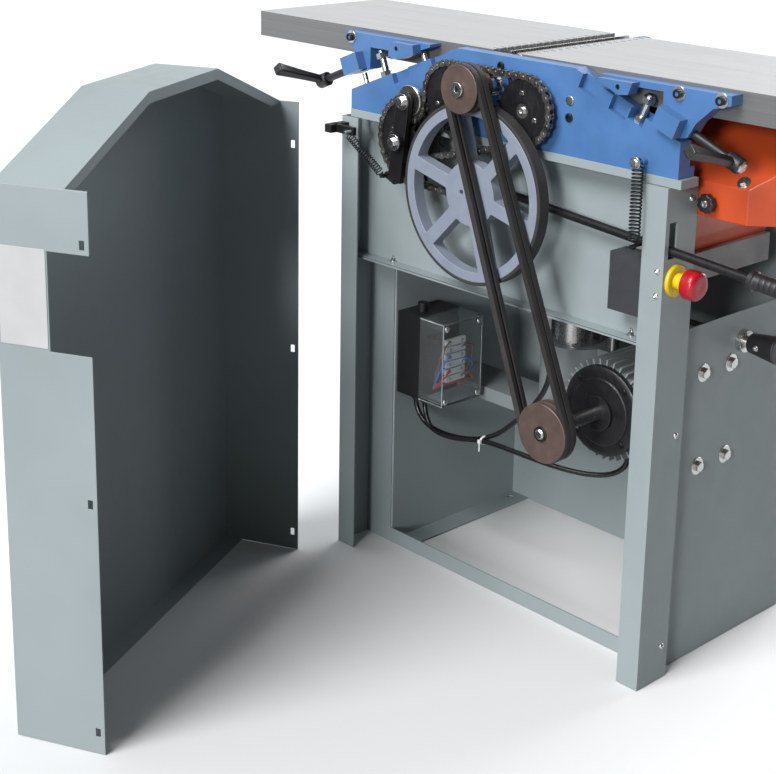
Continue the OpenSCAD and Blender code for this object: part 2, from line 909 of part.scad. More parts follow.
module feed_wheel() {
    rim_r = tyre_r - tyre_t;
    color("lightsteelblue") difference() {
        union() {
            slab(wheel_front, wheel_back) translate([0, wheel_z]) difference() {
                circle(r = rim_r);
                for (i = [0:spokes - 1])
                    rotate(first_spoke + 360 / spokes * (i + 0.5)) wheel_window(rim_r - 14);
            }
            along_y(wheel_hub_r, wheel_back - 1, reduction_y + sprocket_t / 2, 0, wheel_z);
        }
        along_y(shaft_r + run_fit, wheel_front + wheel_face, reduction_y + 10, 0, wheel_z);
        for (side = [-1, 1])
            along_y(3.5, wheel_front - 1, wheel_front + 4, side * 16, wheel_z);
    }
}

// opening between two spokes: a wedge between the circles of the hub and the rim
module wheel_window(outer_r) {
    half = 180 / spokes;
    apex = spoke_w / 2 / sin(half);
    far = [apex + outer_r, outer_r * tan(half)];
    difference() {
        intersection() {
            polygon([[apex, 0], [far[0], -far[1]], far]);
            circle(r = outer_r);
        }
        circle(r = window_r);
    }
}

module wheel_tyre() {
    color("dimgray") ring(tyre_r, tyre_r - tyre_t, wheel_front, wheel_back, 0, wheel_z);
}

module drive_sprocket() {
    color("silver") difference() {
        sprocket(drive_teeth, 0, wheel_z, reduction_y);
        along_y(wheel_hub_r, reduction_y - 5, reduction_y + 5, 0, wheel_z);
    }
}

// lever: eccentric hub with the wheel's axle, and the rod out through the column
module lever_rod() {
    front = rod_y - hub_t / 2;
    back = rod_y + hub_t / 2;
    color("darkslategray") difference() {
        union() {
            along_y(hub_r, front, back, pivot[0], pivot[1]);
            along_y(shaft_r, wheel_front + wheel_face + 1, front + 1, 0, wheel_z);
            translate([pivot[0], rod_y, pivot[1]]) rotate([0, rod_tilt, 0])
                along_x(rod_r, 12, lever_l - 4, 0, 0);
            along_y(peg_r, spring_y - 7, rod_y, spring_x, spring_low_z);
        }
        along_y(8 + run_fit, front - 1, back + 1, pivot[0], pivot[1]);
    }
}

module lever_grip() {
    color("black") translate([pivot[0], rod_y, pivot[1]]) rotate([0, rod_tilt, 0])
        difference() {
            union() {
                along_x(11, lever_l - 120, lever_l - 8, 0, 0);
                along_x(13, lever_l - 122, lever_l - 114, 0, 0);
                translate([lever_l - 8, 0, 0]) sphere(r = 11);
            }
            along_x(rod_r, lever_l - 130, lever_l - 4, 0, 0);
        }
}

// lever pivot and intermediate stud, both bolted to the upper wall
module wall_studs() {
    color("dimgray") {
        along_y(16, rod_y + hub_t / 2 + 1, upper_wall_y, pivot[0], pivot[1]);
        along_y(8, rod_y - hub_t / 2 + 0.5, upper_wall_y, pivot[0], pivot[1]);
        along_y(stud_r + 2, casting_front + 1, upper_wall_y, stud_x, stud_z);
        along_y(stud_r, arm_front - 1, upper_wall_y, stud_x, stud_z);
        along_y(14, arm_front - 8, arm_front - 1, stud_x, stud_z);
    }
}

module lever_spring() {
    color("silver") translate([spring_x, spring_y, spring_low_z])
        coil_spring(spring_top_z - spring_low_z, 7, 4.5, 1, 14);
}

module reduction_chain() {
    color("dimgray") chain(reduction_wheels, reduction_y);
}

module feed_chain() {
    color("dimgray") chain(feed_wheels, feed_y);
}

module intermediate_sprockets() {
    color("dimgray") difference() {
        union() {
            sprocket(big_teeth, stud_x, stud_z, reduction_y);
            sprocket(small_teeth, stud_x, stud_z, feed_y);
            along_y(18, feed_y, reduction_y, stud_x, stud_z);
        }
        along_y(stud_r + run_fit, feed_y - 10, reduction_y + 10, stud_x, stud_z);
    }
}

module feed_roller(x) {
    color("silver") {
        along_y(feed_r, cutter_near - 1, far_front - 2, x, feed_z);
        along_y(feed_shaft_r, feed_y - 4, far_back + 2, x, feed_z);
    }
}

module feed_sprocket(x) {
    color("black") difference() {
        sprocket(feed_teeth, x, feed_z, feed_y);
        along_y(feed_shaft_r, feed_y - 10, feed_y + 10, x, feed_z);
    }
}

module infeed_roller() {
    feed_roller(feed_x);
}

module outfeed_roller() {
    feed_roller(-feed_x);
}

module infeed_sprocket() {
    feed_sprocket(feed_x);
}

module outfeed_sprocket() {
    feed_sprocket(-feed_x);
}

// swinging arm that presses the idler on the feed chain
module tensioner_arm() {
    at_stud = [stud_x, stud_z];
    color("dimgray") difference() {
        union() {
            slab(arm_front, arm_back) {
                bar(at_stud, idler, arm_w - 4);
                bar(at_stud, arm_end, arm_w - 4);
                for (p = [at_stud, idler, arm_end])
                    translate(p) circle(d = arm_w);
                bar(arm_end, arm_peg, 8);
                translate(arm_peg) circle(r = 5.5);
            }
            along_y(6, arm_back - 1, feed_y + chain_w / 2 - 1, idler[0], idler[1]);
            along_y(peg_r, peg_y - 3, arm_front + 1, arm_peg[0], arm_peg[1]);
        }
        along_y(stud_r + run_fit, arm_front - 1, arm_back + 1, stud_x, stud_z);
    }
}

module idler_roller() {
    color("dimgray") ring(idler_r - slide_gap, 6 + run_fit, feed_y - chain_w / 2, feed_y + chain_w / 2 - 1,
        idler[0], idler[1]);
}

module tension_spring() {
    step = bar_peg - arm_peg;
    color("silver") translate([arm_peg[0], peg_y, arm_peg[1]]) rotate([0, 90 - atan2(step[1], step[0]), 0])
        coil_spring(norm(step), 5.5, 4, 0.8, 18);
}

// Thicknesser

module thicknesser_bed() {
    low = bed_h - bed_t;
    color("lightgray") difference() {
        union() {
            difference() {
                box([-bed_half, bed_near, low], [bed_half, bed_far, bed_h]);
                for (side = [0, 1])
                    mirror([side, 0, 0])
                        box([110, bed_near + 12, low - 1], [bed_half - 12, bed_far - 12, bed_h - 14]);
            }
            along_z(nut_r, nut_low, bed_h - 5, screw_x, lift_y);
        }
        along_z(screw_r + run_fit, nut_low - 1, bed_h - 14, screw_x, lift_y);
    }
}

module lift_column() {
    color("silver") difference() {
        along_z(column_r, column_low, bed_h - bed_t, 0, lift_y);
        along_z(column_r - 10, column_low - 1, bed_h - bed_t - 10, 0, lift_y);
    }
}

module lift_sleeve() {
    color("black") difference() {
        union() {
            box([inner_left, lift_y - 40, beam_z], [right_in, lift_y + 40, beam_z + beam_h]);
            along_z(78, beam_z + beam_h - 1, beam_z + beam_h + 12, 0, lift_y);
            along_z(column_r + 15, beam_z + beam_h - 1, sleeve_top, 0, lift_y);
            box([0, lift_y - 14, sleeve_top - 20], [screw_x + 18, lift_y + 14, sleeve_top]);
        }
        along_z(column_r + run_fit, beam_z + beam_h, sleeve_top + 1, 0, lift_y);
        along_z(6 + run_fit, sleeve_top - 21, sleeve_top + 1, screw_x, lift_y);
    }
}

// gear cones with their tips where the two shafts meet; the teeth are left off
gear_r = 21;
gear_face = 8;

module lift_screw() {
    color("silver") {
        along_z(screw_r, sleeve_top + slide_gap, screw_top, screw_x, lift_y);
        along_z(6, sleeve_top - 18, sleeve_top + 1, screw_x, lift_y);
        translate([screw_x, lift_y, crank_z - gear_r - 1])
            cylinder(r1 = gear_r, r2 = gear_r - gear_face, h = gear_face);
    }
}

module crank_shaft() {
    color("silver") {
        along_x(crank_r, screw_x + gear_r - gear_face + 2, inner_right + 62, lift_y, crank_z);
        translate([screw_x + gear_r - gear_face + 1, lift_y, crank_z]) rotate([0, 90, 0])
            cylinder(r1 = gear_r - gear_face, r2 = gear_r, h = gear_face);
    }
}

module crank_handle() {
    hub_x = inner_right + 16;
    arm_x = inner_right + 50;
    color("black") difference() {
        union() {
            translate([hub_x, lift_y, crank_z]) rotate([0, 90, 0]) cylinder(r1 = 14, r2 = 20, h = 46);
            box([arm_x, lift_y, crank_z - 10], [arm_x + 12, lift_y + crank_l, crank_z + 10]);
            along_x(10, arm_x, arm_x + 12, lift_y + crank_l, crank_z);
            along_x(11, arm_x + 12, arm_x + 92, lift_y + crank_l, crank_z);
        }
        along_x(crank_r, hub_x - 1, inner_right + 62, lift_y, crank_z);
    }
}

// Dust hood

// the hood is the overlap of three outlines, each drawn in by a wall's thickness for its inside
module hood_shape(in) {
    intersection() {
        slab(hood_near + in, hood_far - in) polygon([
            [hood_left - 4 * in, hood_low + in], [262, hood_low + in], [300, hood_floor + in],
            [hood_right - in, hood_floor + in], [hood_right - in, hood_top - in],
            [hood_left - 4 * in, hood_top - in]
        ]);
        translate([0, 0, hood_low]) linear_extrude(hood_top - hood_low) polygon([
            [hood_left - 5 * in, hood_near], [hood_right - 55 - in / 2, hood_near],
            [hood_right - in, hood_near + 50 + in / 2], [hood_right - in, hood_far],
            [hood_left - 5 * in, hood_far]
        ]);
        translate([hood_left - 5 * in, 0, 0]) rotate([90, 0, 90])
            linear_extrude(hood_right - hood_left + 5 * in) polygon([
                [hood_near, hood_low], [hood_near, hood_fold - in / 2],
                [hood_near + 85 + in / 2, hood_top - in], [hood_far, hood_top - in],
                [hood_far, hood_low]
            ]);
    }
}

module dust_hood() {
    color("orangered") difference() {
        union() {
            hood_shape(0);
            along_x(spigot_r, hood_right - 2, hood_right + 60, spigot_y, spigot_z);
        }
        hood_shape(hood_sheet);
        along_x(spigot_r - 3, hood_right - 8, hood_right + 61, spigot_y, spigot_z);
    }
}

knob_x = 329;

module hood_knob() {
    color("black") {
        along_y(13, hood_near - 14, hood_near - 4, knob_x, hood_floor + 20);
        along_y(8, hood_near - 5, hood_near, knob_x, hood_floor + 20);
    }
}

// Emergency stop

module stop_button() {
    color("red") {
        along_x(stop_hole_r - run_fit, half_w - 14, half_w + 17, stop_y, stop_z);
        along_x(14, half_w + 14, half_w + 22, stop_y, stop_z);
        along_x(20, half_w + 20, half_w + 36, stop_y, stop_z);
        translate([half_w + 36, stop_y, stop_z]) rotate([0, 90, 0]) cylinder(r1 = 20, r2 = 15, h = 6);
    }
}

module stop_ring() {
    color("yellow") difference() {
        along_x(22, half_w, half_w + 5, stop_y, stop_z);
        along_x(stop_hole_r, half_w - 1, half_w + 6, stop_y, stop_z);
    }
}

module stop_contact_box() {
    color("darkgray") difference() {
        box([220, lip_y + sheet + 1, 531], [half_w - sheet, upper_wall_y, 611]);
        along_x(stop_hole_r, half_w - 24, half_w, stop_y, stop_z);
    }
}

// Electrical box and cables

box_y = wall_y + sheet + 4;
box_l = 88;
box_z = [262, 398];
box_mid = inner_left + 50;
box_end = inner_left + 102;
gland_x = inner_left + 25;
gland_y = box_y + 30;

module electrical_box() {
    color("black") {
        box([inner_left, box_y, box_z[0]], [box_mid, box_y + box_l, box_z[1]]);
        box([box_mid - 1, box_y + 18, box_z[0] + 40], [box_mid + 34, box_y + 64, box_z[1] - 34]);
        for (x = [gland_x - 10, gland_x + 10])
            along_z(8, box_z[0] - 14, box_z[0] + 1, x, gland_y);
        along_z(8, box_z[1] - 1, box_z[1] + 14, gland_x, gland_y);
    }
}

module electrical_lid() {
    color("lightblue", 0.4) difference() {
        box([box_mid, box_y, box_z[0]], [box_end, box_y + box_l, box_z[1]]);
        box([box_mid - 1, box_y + 3, box_z[0] + 3], [box_end - 3, box_y + box_l - 3, box_z[1] - 3]);
    }
}

cable_r = 4;
motor_cable_path = [
    [gland_x + 10, gland_y, box_z[0] - 14], [gland_x + 10, gland_y, box_z[0] - 23], [-208, -115, 225],
    [-195, -119, 213], [-175, -121.5, 208.5], [-150, -122, 209], [-125, -122, 213], [-100, -121.5, 219],
    [-75, -121, 224], [-50, -120.5, 226], [-20, -119, 226], [15, -116, 225], [50, -112, 224],
    [85, -106, 224], [115, -99, 226], [140, -92, 231], [157, -87, 239], [168.5, -84.4, 250],
    [motor_x, motor_cable_y, motor_z - motor_r - 20], [motor_x, motor_cable_y, motor_z - motor_r - 12]
];
stop_cable_path = [
    [268, -184, 531], [268, -184, 515], [268, -183, 498], [267.5, -180.5, 482], [265, -175, 467],
    [259, -165, 455], [249, -151, 448.5], [236, -135, 447], [220, -118, 449], [200, -103, 452],
    [176, -91, 455.5], [148, -82.5, 459], [118, -77, 462.5], [88, -74.5, 465], [58, -75, 467],
    [30, -77, 468.5], [8, -84, 470], [-8, -97, 471.5], [-13, -113, 472.5], [-7, -129, 473.5],
    [8, -139.5, 474], [28, -144.5, 471.5], [46, -146, 463], [59, -146, 449], [66, -144.5, 431],
    [68.5, -142, 412], [68, -139, 394], [63, -135, 374], [54, -131, 353], [42, -127.5, 334],
    [27, -124.5, 315.5], [10, -122, 297.5], [-8, -120, 280], [-27, -118, 262.5], [-48, -116, 245],
    [-72, -114, 230], [-98, -112.5, 218.5], [-124, -112, 211], [-150, -112, 206.5], [-174, -112, 205],
    [-196, -112.5, 207], [-214, -112.5, 213], [-227, -112.5, 224], [gland_x - 10, gland_y, box_z[0] - 23],
    [gland_x - 10, gland_y, box_z[0] - 14]
];

module motor_cable() {
    color("black") tube(motor_cable_path, cable_r, 10, [0, 1, 0]);
}

module stop_cable() {
    color("black") tube(stop_cable_path, cable_r, 10, [0, 1, 0]);
}

// Drive cover, drawn as it would face the machine and then stood beside it

module cover_outline(in) {
    mid = cover_w / 2;
    slope_in = in * 1.2;
    polygon([
        [in, in], [cover_w - in, in], [cover_w - in, cover_side_h - slope_in / 2],
        [mid + 99, cover_top_h - in], [mid - 99, cover_top_h - in], [in, cover_side_h - slope_in / 2]
    ]);
}

module standing_cover() {
    translate([cover_at[0], cover_at[1], 0]) rotate([0, 0, cover_turn]) children();
}

module drive_cover() {
    roof_d = 98;
    lip_d = 30;
    roof_lip = 16;
    notch = [555 - cover_hang, 680 - cover_hang];
    color("slategray") standing_cover() difference() {
        union() {
            slab(0, cover_sheet) cover_outline(0);
            difference() {
                slab(0, cover_d) difference() {
                    cover_outline(0);
                    cover_outline(cover_sheet);
                }
                box(
                    [cover_sheet, roof_d, cover_side_h - 8],
                    [cover_w - cover_sheet, cover_d + 1, cover_top_h + 1]
                );
            }
            intersection() {
                slab(roof_d - cover_sheet, roof_d) difference() {
                    cover_outline(0);
                    cover_outline(roof_lip);
                }
                box([1, 0, cover_side_h - 4], [cover_w - 1, cover_d, cover_top_h + 1]);
            }
        }
        box([cover_sheet, lip_d, -1], [cover_w - cover_sheet, cover_d + 1, cover_sheet + 1]);
        for (x = [-1, cover_w - cover_sheet - 1], z = screw_heights)
            box(
                [x, cover_d - 13, z - cover_hang - 6],
                [x + cover_sheet + 2, cover_d - 6, z - cover_hang + 6]
            );
        box([cover_w - cover_sheet - 1, cover_d - 57, notch[0]], [cover_w + 1, cover_d + 1, notch[1]]);
    }
}

// bare plate on the outside of the flange, beside its notch
module cover_label() {
    low = 558 - cover_hang;
    color("white") standing_cover() box([cover_w, 4, low], [cover_w + 0.8, cover_d - 59, low + 124]);
}

drive_side_frame();
upper_wall();
shelf_angle();
casting_ledge();
cabinet_shell();
frame_screws();
near_casting();
far_casting();
left_table();
right_table();
left_table_bracket();
right_table_bracket();
table_fixings();
left_clamp_lever();
right_clamp_lever();
cutter_block();
cutter_knives();
shaft_bearings();
cutter_pulley();
friction_roller();
v_belts();
motor_body();
motor_end_caps();
motor_foot_plate();
motor_shaft();
motor_pulley();
feed_wheel();
wheel_tyre();
drive_sprocket();
lever_rod();
lever_grip();
wall_studs();
lever_spring();
reduction_chain();
intermediate_sprockets();
feed_chain();
infeed_roller();
outfeed_roller();
infeed_sprocket();
outfeed_sprocket();
tensioner_arm();
idler_roller();
tension_spring();
thicknesser_bed();
lift_column();
lift_sleeve();
lift_screw();
crank_shaft();
crank_handle();
dust_hood();
hood_knob();
stop_button();
stop_ring();
stop_contact_box();
electrical_box();
electrical_lid();
motor_cable();
stop_cable();
drive_cover();
cover_label();
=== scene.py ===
"""Looks of the combination planer thicknesser.

Lengths are in millimetres until a piece is made, which is in metres.
"""

import json
import math

import bmesh
import bpy
from mathutils import Matrix, Vector


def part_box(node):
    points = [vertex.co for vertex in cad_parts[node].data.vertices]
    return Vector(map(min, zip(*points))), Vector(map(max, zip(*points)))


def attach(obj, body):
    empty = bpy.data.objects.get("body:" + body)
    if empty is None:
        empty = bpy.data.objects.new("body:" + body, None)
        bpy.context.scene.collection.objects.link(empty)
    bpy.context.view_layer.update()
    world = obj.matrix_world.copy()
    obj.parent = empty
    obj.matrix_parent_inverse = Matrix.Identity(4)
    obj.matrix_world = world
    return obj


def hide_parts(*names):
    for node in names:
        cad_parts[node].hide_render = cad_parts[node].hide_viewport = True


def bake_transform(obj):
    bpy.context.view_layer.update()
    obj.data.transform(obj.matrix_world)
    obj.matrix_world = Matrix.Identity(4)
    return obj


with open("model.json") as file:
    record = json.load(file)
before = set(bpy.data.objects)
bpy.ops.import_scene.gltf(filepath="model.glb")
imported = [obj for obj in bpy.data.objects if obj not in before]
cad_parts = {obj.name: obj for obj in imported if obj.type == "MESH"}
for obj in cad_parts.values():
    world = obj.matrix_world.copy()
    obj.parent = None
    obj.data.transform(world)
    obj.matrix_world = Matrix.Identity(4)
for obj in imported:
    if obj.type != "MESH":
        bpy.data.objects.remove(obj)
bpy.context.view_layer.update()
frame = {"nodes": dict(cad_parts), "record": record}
MM = 0.001
X, Y, Z = Vector((1, 0, 0)), Vector((0, 1, 0)), Vector((0, 0, 1))

# Camera at the photograph's place, for a picture of 776 by 774

PICTURE_W = 776
FOCAL_PX = 1599.9
SENSOR_W = 36
SHIFT_Y = -0.2
CLIP_END = 100
CAMERA_AT = (1495.1, -1815.2, 1179.7)
CAMERA_YAW = math.radians(-46.64)
CAMERA_PITCH = math.radians(15.118)
CAMERA_ROLL = math.radians(0.987)


def make_camera():
    data = bpy.data.cameras.new("camera")
    data.sensor_width = SENSOR_W
    data.lens = FOCAL_PX * SENSOR_W / PICTURE_W
    data.shift_y = SHIFT_Y
    data.clip_end = CLIP_END
    ahead = Vector((math.sin(CAMERA_YAW) * math.cos(CAMERA_PITCH),
                    math.cos(CAMERA_YAW) * math.cos(CAMERA_PITCH), -math.sin(CAMERA_PITCH)))
    level = ahead.cross(Z).normalized()
    above = level.cross(ahead)
    right = level * math.cos(CAMERA_ROLL) + above * math.sin(CAMERA_ROLL)
    up = above * math.cos(CAMERA_ROLL) - level * math.sin(CAMERA_ROLL)
    camera = bpy.data.objects.new("camera", data)
    camera.matrix_world = Matrix((right, up, -ahead)).transposed().to_4x4()
    camera.location = Vector(CAMERA_AT) * MM
    bpy.context.scene.collection.objects.link(camera)
    bpy.context.scene.camera = camera


make_camera()

# Materials

NOISE_LOW, NOISE_HIGH = 0.3, 0.7


def linear(rgb):
    """Screen colours from 0 to 255 as the shader's linear ones."""
    def one(c):
        c /= 255
        return c / 12.92 if c <= 0.04045 else ((c + 0.055) / 1.055) ** 2.4
    return (*[one(c) for c in rgb], 1)


def set_inputs(node, values):
    """Gives a shader node's inputs their values, by name."""
    for key, value in values.items():
        node.inputs[key].default_value = value


class Look:
    """A material under way: its node tree, with short calls for the nodes that all looks share."""

    def __init__(self, name, rough, metal=0.0, coat=0.0):
        self.material = bpy.data.materials.new(name)
        self.material.use_nodes = True
        self.tree = self.material.node_tree
        self.shader = self.tree.nodes["Principled BSDF"]
        set_inputs(self.shader, {"Roughness": rough, "Metallic": metal, "Coat Weight": coat})
        self.place = self.node("ShaderNodeTexCoord").outputs["Object"]
        self.height = None

    def node(self, kind, values=None, **settings):
        made = self.tree.nodes.new(kind)
        for key, value in settings.items():
            setattr(made, key, value)
        set_inputs(made, values or {})
        return made

    def link(self, source, target):
        self.tree.links.new(source, target)

    def noise(self, scale, stretch=(1, 1, 1), detail=3.0):
        """Cloudy values, mostly between NOISE_LOW and NOISE_HIGH; scale is in clouds to the metre."""
        mapping = self.node("ShaderNodeMapping", {"Scale": stretch})
        texture = self.node("ShaderNodeTexNoise", {"Scale": scale, "Detail": detail})
        self.link(self.place, mapping.inputs["Vector"])
        self.link(mapping.outputs["Vector"], texture.inputs["Vector"])
        return texture.outputs["Fac"]

    def ramp(self, factor, stops):
        """A colour that runs through the stops, each a place from 0 to 1 and a colour."""
        made = self.node("ShaderNodeValToRGB")
        elements = made.color_ramp.elements
        while len(elements) < len(stops):
            elements.new(0.5)
        for element, (where, color) in zip(elements, stops):
            element.position = where
            element.color = color
        self.link(factor, made.inputs["Fac"])
        return made.outputs["Color"]

    def spread(self, factor, low, high):
        """The range of a noise drawn out from low to high."""
        ends = {"From Min": NOISE_LOW, "From Max": NOISE_HIGH, "To Min": low, "To Max": high}
        made = self.node("ShaderNodeMapRange", ends)
        self.link(factor, made.inputs["Value"])
        return made.outputs["Result"]

    def shade(self, factor, rgb, vary):
        """A colour that goes from darker to lighter by the share vary."""
        base = linear(rgb)
        dark = (*[c * (1 - vary) for c in base[:3]], 1)
        light = (*[min(1, c * (1 + vary)) for c in base[:3]], 1)
        return self.ramp(factor, [(NOISE_LOW, dark), (NOISE_HIGH, light)])

    def color(self, factor, rgb, vary):
        self.link(self.shade(factor, rgb, vary), self.shader.inputs["Base Color"])

    def rough(self, factor, low, high):
        self.link(self.spread(factor, low, high), self.shader.inputs["Roughness"])

    def bump(self, factor, depth, strength=0.5):
        """A relief of a depth in millimetres, on top of the reliefs made before it."""
        made = self.node("ShaderNodeBump", {"Distance": depth * MM, "Strength": strength})
        self.link(factor, made.inputs["Height"])
        if self.height is not None:
            self.link(self.height, made.inputs["Normal"])
        self.height = made.outputs["Normal"]
        self.link(self.height, self.shader.inputs["Normal"])


def sprayed(name, rgb, rough, peel=700, coat=0.0):
    """Sprayed paint or powder coat: slow clouds of tone over a fine orange peel."""
    look = Look(name, rough, coat=coat)
    look.color(look.noise(5), rgb, 0.06)
    look.rough(look.noise(40), rough - 0.06, rough + 0.08)
    look.bump(look.noise(peel, detail=2), 0.12)
    return look.material


def cast_paint(name, rgb, rough):
    """Thick enamel on a sand casting, whose lumps show through."""
    look = Look(name, rough, coat=0.25)
    look.color(look.noise(14), rgb, 0.12)
    look.rough(look.noise(60), rough - 0.08, rough + 0.1)
    look.bump(look.noise(120), 0.5, 0.35)
    look.bump(look.noise(600, detail=1), 0.1, 0.4)
    return look.material


# Painted shade: the share by which the tables' sides and edges are darkened
SIDE_SHADE_TONE = (0.36, 0.36, 0.36, 1)


def ground_iron(name, rgb, rough):
    """Ground cast iron: long grinding lines along X on top, and sides and edges darkened as painted shade."""
    look = Look(name, rough, metal=0.3)
    lines = look.noise(60, stretch=(0.05, 9, 9), detail=5)
    # Painted shade: faces that turn away from up get darker, down to the side shade tone
    facing = look.node("ShaderNodeSeparateXYZ")
    look.link(look.node("ShaderNodeTexCoord").outputs["Normal"], facing.inputs["Vector"])
    top = look.ramp(facing.outputs["Z"], [(0.4, SIDE_SHADE_TONE), (0.8, (1, 1, 1, 1))])
    both = look.node("ShaderNodeMix", {"Factor": 1}, data_type="RGBA", blend_type="MULTIPLY")
    look.link(look.shade(lines, rgb, 0.1), both.inputs["A"])
    look.link(top, both.inputs["B"])
    look.link(both.outputs["Result"], look.shader.inputs["Base Color"])
    look.rough(look.noise(9, stretch=(0.4, 3, 3)), rough - 0.07, rough + 0.1)
    look.bump(lines, 0.08, 0.4)
    return look.material


def metal(name, rgb, rough, vary=0.15, grain=300, depth=0.05, shine=1.0, wear=0.13):
    """Bare, plated or painted metal: cloudy tone, with fine scratches in gloss and bump."""
    look = Look(name, rough, metal=shine)
    look.color(look.noise(45), rgb, vary)
    grains = look.noise(grain, stretch=(1, 1, 0.3))
    look.rough(grains, max(0.05, rough - wear), rough + wear)
    look.bump(grains, depth, 0.4)
    return look.material


def turned_metal(name, rgb, rough, middle, shine):
    """Turned on a lathe about an axis along Y through (x, z): fine rings, and a cloudy skin."""
    look = Look(name, rough, metal=shine)
    shift = look.node("ShaderNodeMapping", {"Location": (-middle[0] * MM, 0, -middle[1] * MM)})
    rings = look.node("ShaderNodeTexWave", {"Scale": 160, "Distortion": 1.5}, wave_type="RINGS",
                      rings_direction="Y")
    look.link(look.place, shift.inputs["Vector"])
    look.link(shift.outputs["Vector"], rings.inputs["Vector"])
    look.color(look.noise(70), rgb, 0.18)
    look.rough(rings.outputs["Fac"], rough - 0.05, rough + 0.1)
    look.bump(rings.outputs["Fac"], 0.08, 0.35)
    return look.material


def rubber(name, rgb, rough, grain=900):
    """Rubber or cable jacket, with a dusty bloom."""
    look = Look(name, rough)
    look.color(look.noise(30), rgb, 0.25)
    fine = look.noise(grain, detail=2)
    look.rough(fine, rough - 0.08, rough + 0.1)
    look.bump(fine, 0.1, 0.5)
    return look.material


def moulded(name, rgb, rough):
    """Moulded plastic with a fine spark-eroded skin."""
    look = Look(name, rough)
    look.color(look.noise(20), rgb, 0.06)
    look.rough(look.noise(90), rough - 0.05, rough + 0.07)
    look.bump(look.noise(1500, detail=1), 0.06, 0.4)
    return look.material


def clear_plastic(name):
    """Clear polycarbonate with light wipe marks."""
    look = Look(name, 0.06)
    set_inputs(look.shader, {"Transmission Weight": 0.96, "IOR": 1.2})
    look.color(look.noise(12), (238, 243, 245), 0.03)
    look.rough(look.noise(50, stretch=(1, 4, 1)), 0.03, 0.12)
    look.bump(look.noise(30), 0.1, 0.15)
    return look.material


# Axes of the two pulleys, along Y through (x, z)

CUTTER = (0, 802)
MOTOR = (174, 356)

# Looks by material slot, and other looks that some pieces wear

GREY = (136, 146, 148)
BROWN = (88, 72, 67)
LOOKS = {
    "grey_paint": sprayed("grey_paint", GREY, 0.45),
    "cover_paint": sprayed("cover_paint", GREY, 0.45),
    "blue_paint": cast_paint("blue_paint", (66, 106, 156), 0.42),
    "cast_table": ground_iron("cast_table", (172, 173, 174), 0.42),
    "bright_steel": metal("bright_steel", (190, 190, 188), 0.28, vary=0.06, grain=900, depth=0.01, wear=0.04),
    "chain_steel": metal("chain_steel", (134, 130, 124), 0.36, vary=0.35),
    "black_steel": metal("black_steel", (38, 38, 40), 0.42, shine=0.6),
    "wheel_alloy": metal("wheel_alloy", (134, 142, 157), 0.5, vary=0.06, shine=0.2),
    "brown_pulley": turned_metal("brown_pulley", BROWN, 0.5, CUTTER, 0.3),
    "motor_grey": sprayed("motor_grey", (124, 131, 133), 0.42, peel=900),
    "tyre_rubber": rubber("tyre_rubber", (44, 43, 43), 0.75),
    "black_plastic": moulded("black_plastic", (27, 27, 29), 0.42),
    "grey_plastic": moulded("grey_plastic", (48, 50, 54), 0.5),
    "clear_plastic": clear_plastic("clear_plastic"),
    "orange_paint": sprayed("orange_paint", (186, 70, 30), 0.42, peel=900, coat=0.2),
    "red_plastic": moulded("red_plastic", (164, 16, 28), 0.3),
    "yellow_plastic": moulded("yellow_plastic", (208, 178, 18), 0.4),
    "bare_plate": moulded("bare_plate", (176, 177, 178), 0.35),
}
EXTRA = {
    "motor_pulley": turned_metal("brown_motor_pulley", BROWN, 0.5, MOTOR, 0.3),
    "belt": rubber("belt_rubber", (38, 36, 35), 0.62, grain=1400),
    "cable": rubber("cable_jacket", (20, 20, 21), 0.28),
    "white": moulded("white_nylon", (214, 214, 212), 0.4),
    # Painted highlight for the clear lid's edges
    "lid_highlight_bead": moulded("lid_highlight_bead", (178, 184, 188), 0.25),
    "blue_wire": moulded("blue_wire", (30, 90, 190), 0.35),
    "red_wire": moulded("red_wire", (190, 30, 30), 0.35),
    "brown_wire": moulded("brown_wire", (110, 66, 40), 0.35),
}

# Solids in mesh code, in millimetres


def axes(at, along, across=None):
    """A frame at a point whose third axis runs along a direction."""
    w = Vector(along).normalized()
    guess = Vector(across) if across is not None else (Z if abs(w.z) < 0.9 else X)
    u = (guess - w * guess.dot(w)).normalized()
    v = w.cross(u)
    return Matrix.Translation(Vector(at)) @ Matrix((u, v, w)).transposed().to_4x4()


def polar(r, angle, middle=(0, 0)):
    """A point of a circle, as a pair."""
    return (middle[0] + r * math.cos(angle), middle[1] + r * math.sin(angle))


def circle(r, middle=(0, 0), steps=40):
    return [polar(r, math.tau * i / steps, middle) for i in range(steps)]


def turned(bm, profile, at, along, steps=40):
    """A body of revolution: profile lists (distance along, radius); a radius of 0 closes it to a point."""
    spot = axes(at, along)
    rings = []
    for far, r in profile:
        points = circle(r, steps=steps) if r else [(0, 0)]
        rings.append([bm.verts.new(spot @ Vector((u, v, far))) for u, v in points])
    for low, high in zip(rings, rings[1:]):
        for i in range(steps):
            j = (i + 1) % steps
            corners = [low[i % len(low)], low[j % len(low)], high[j % len(high)], high[i % len(high)]]
            kept = list(dict.fromkeys(corners))
            if len(kept) > 2:
                bm.faces.new(kept)
    return rings


def bridge(bm, low, high):
    """Faces between two rings with as many points."""
    for i in range(len(low)):
        j = (i + 1) % len(low)
        bm.faces.new([low[i], low[j], high[j], high[i]])


def hollow(bm, profile, at, along, steps=40):
    """A ring of revolution: the profile is closed on itself."""
    rings = turned(bm, profile, at, along, steps)
    bridge(bm, rings[-1], rings[0])


def transport(points, closed=False):
    """A frame at each point of a line, turned as little as possible from one to the next."""
    count = len(points)
    frames, side = [], None
    for i, p in enumerate(points):
        before = points[i - 1] if i or closed else p
        after = points[(i + 1) % count] if i + 1 < count or closed else p
        along = (after - before).normalized()
        if side is None:
            side = Z if abs(along.z) < 0.9 else X
        side = (side - along * side.dot(along)).normalized()
        frames.append((p, side, along.cross(side)))
    return frames


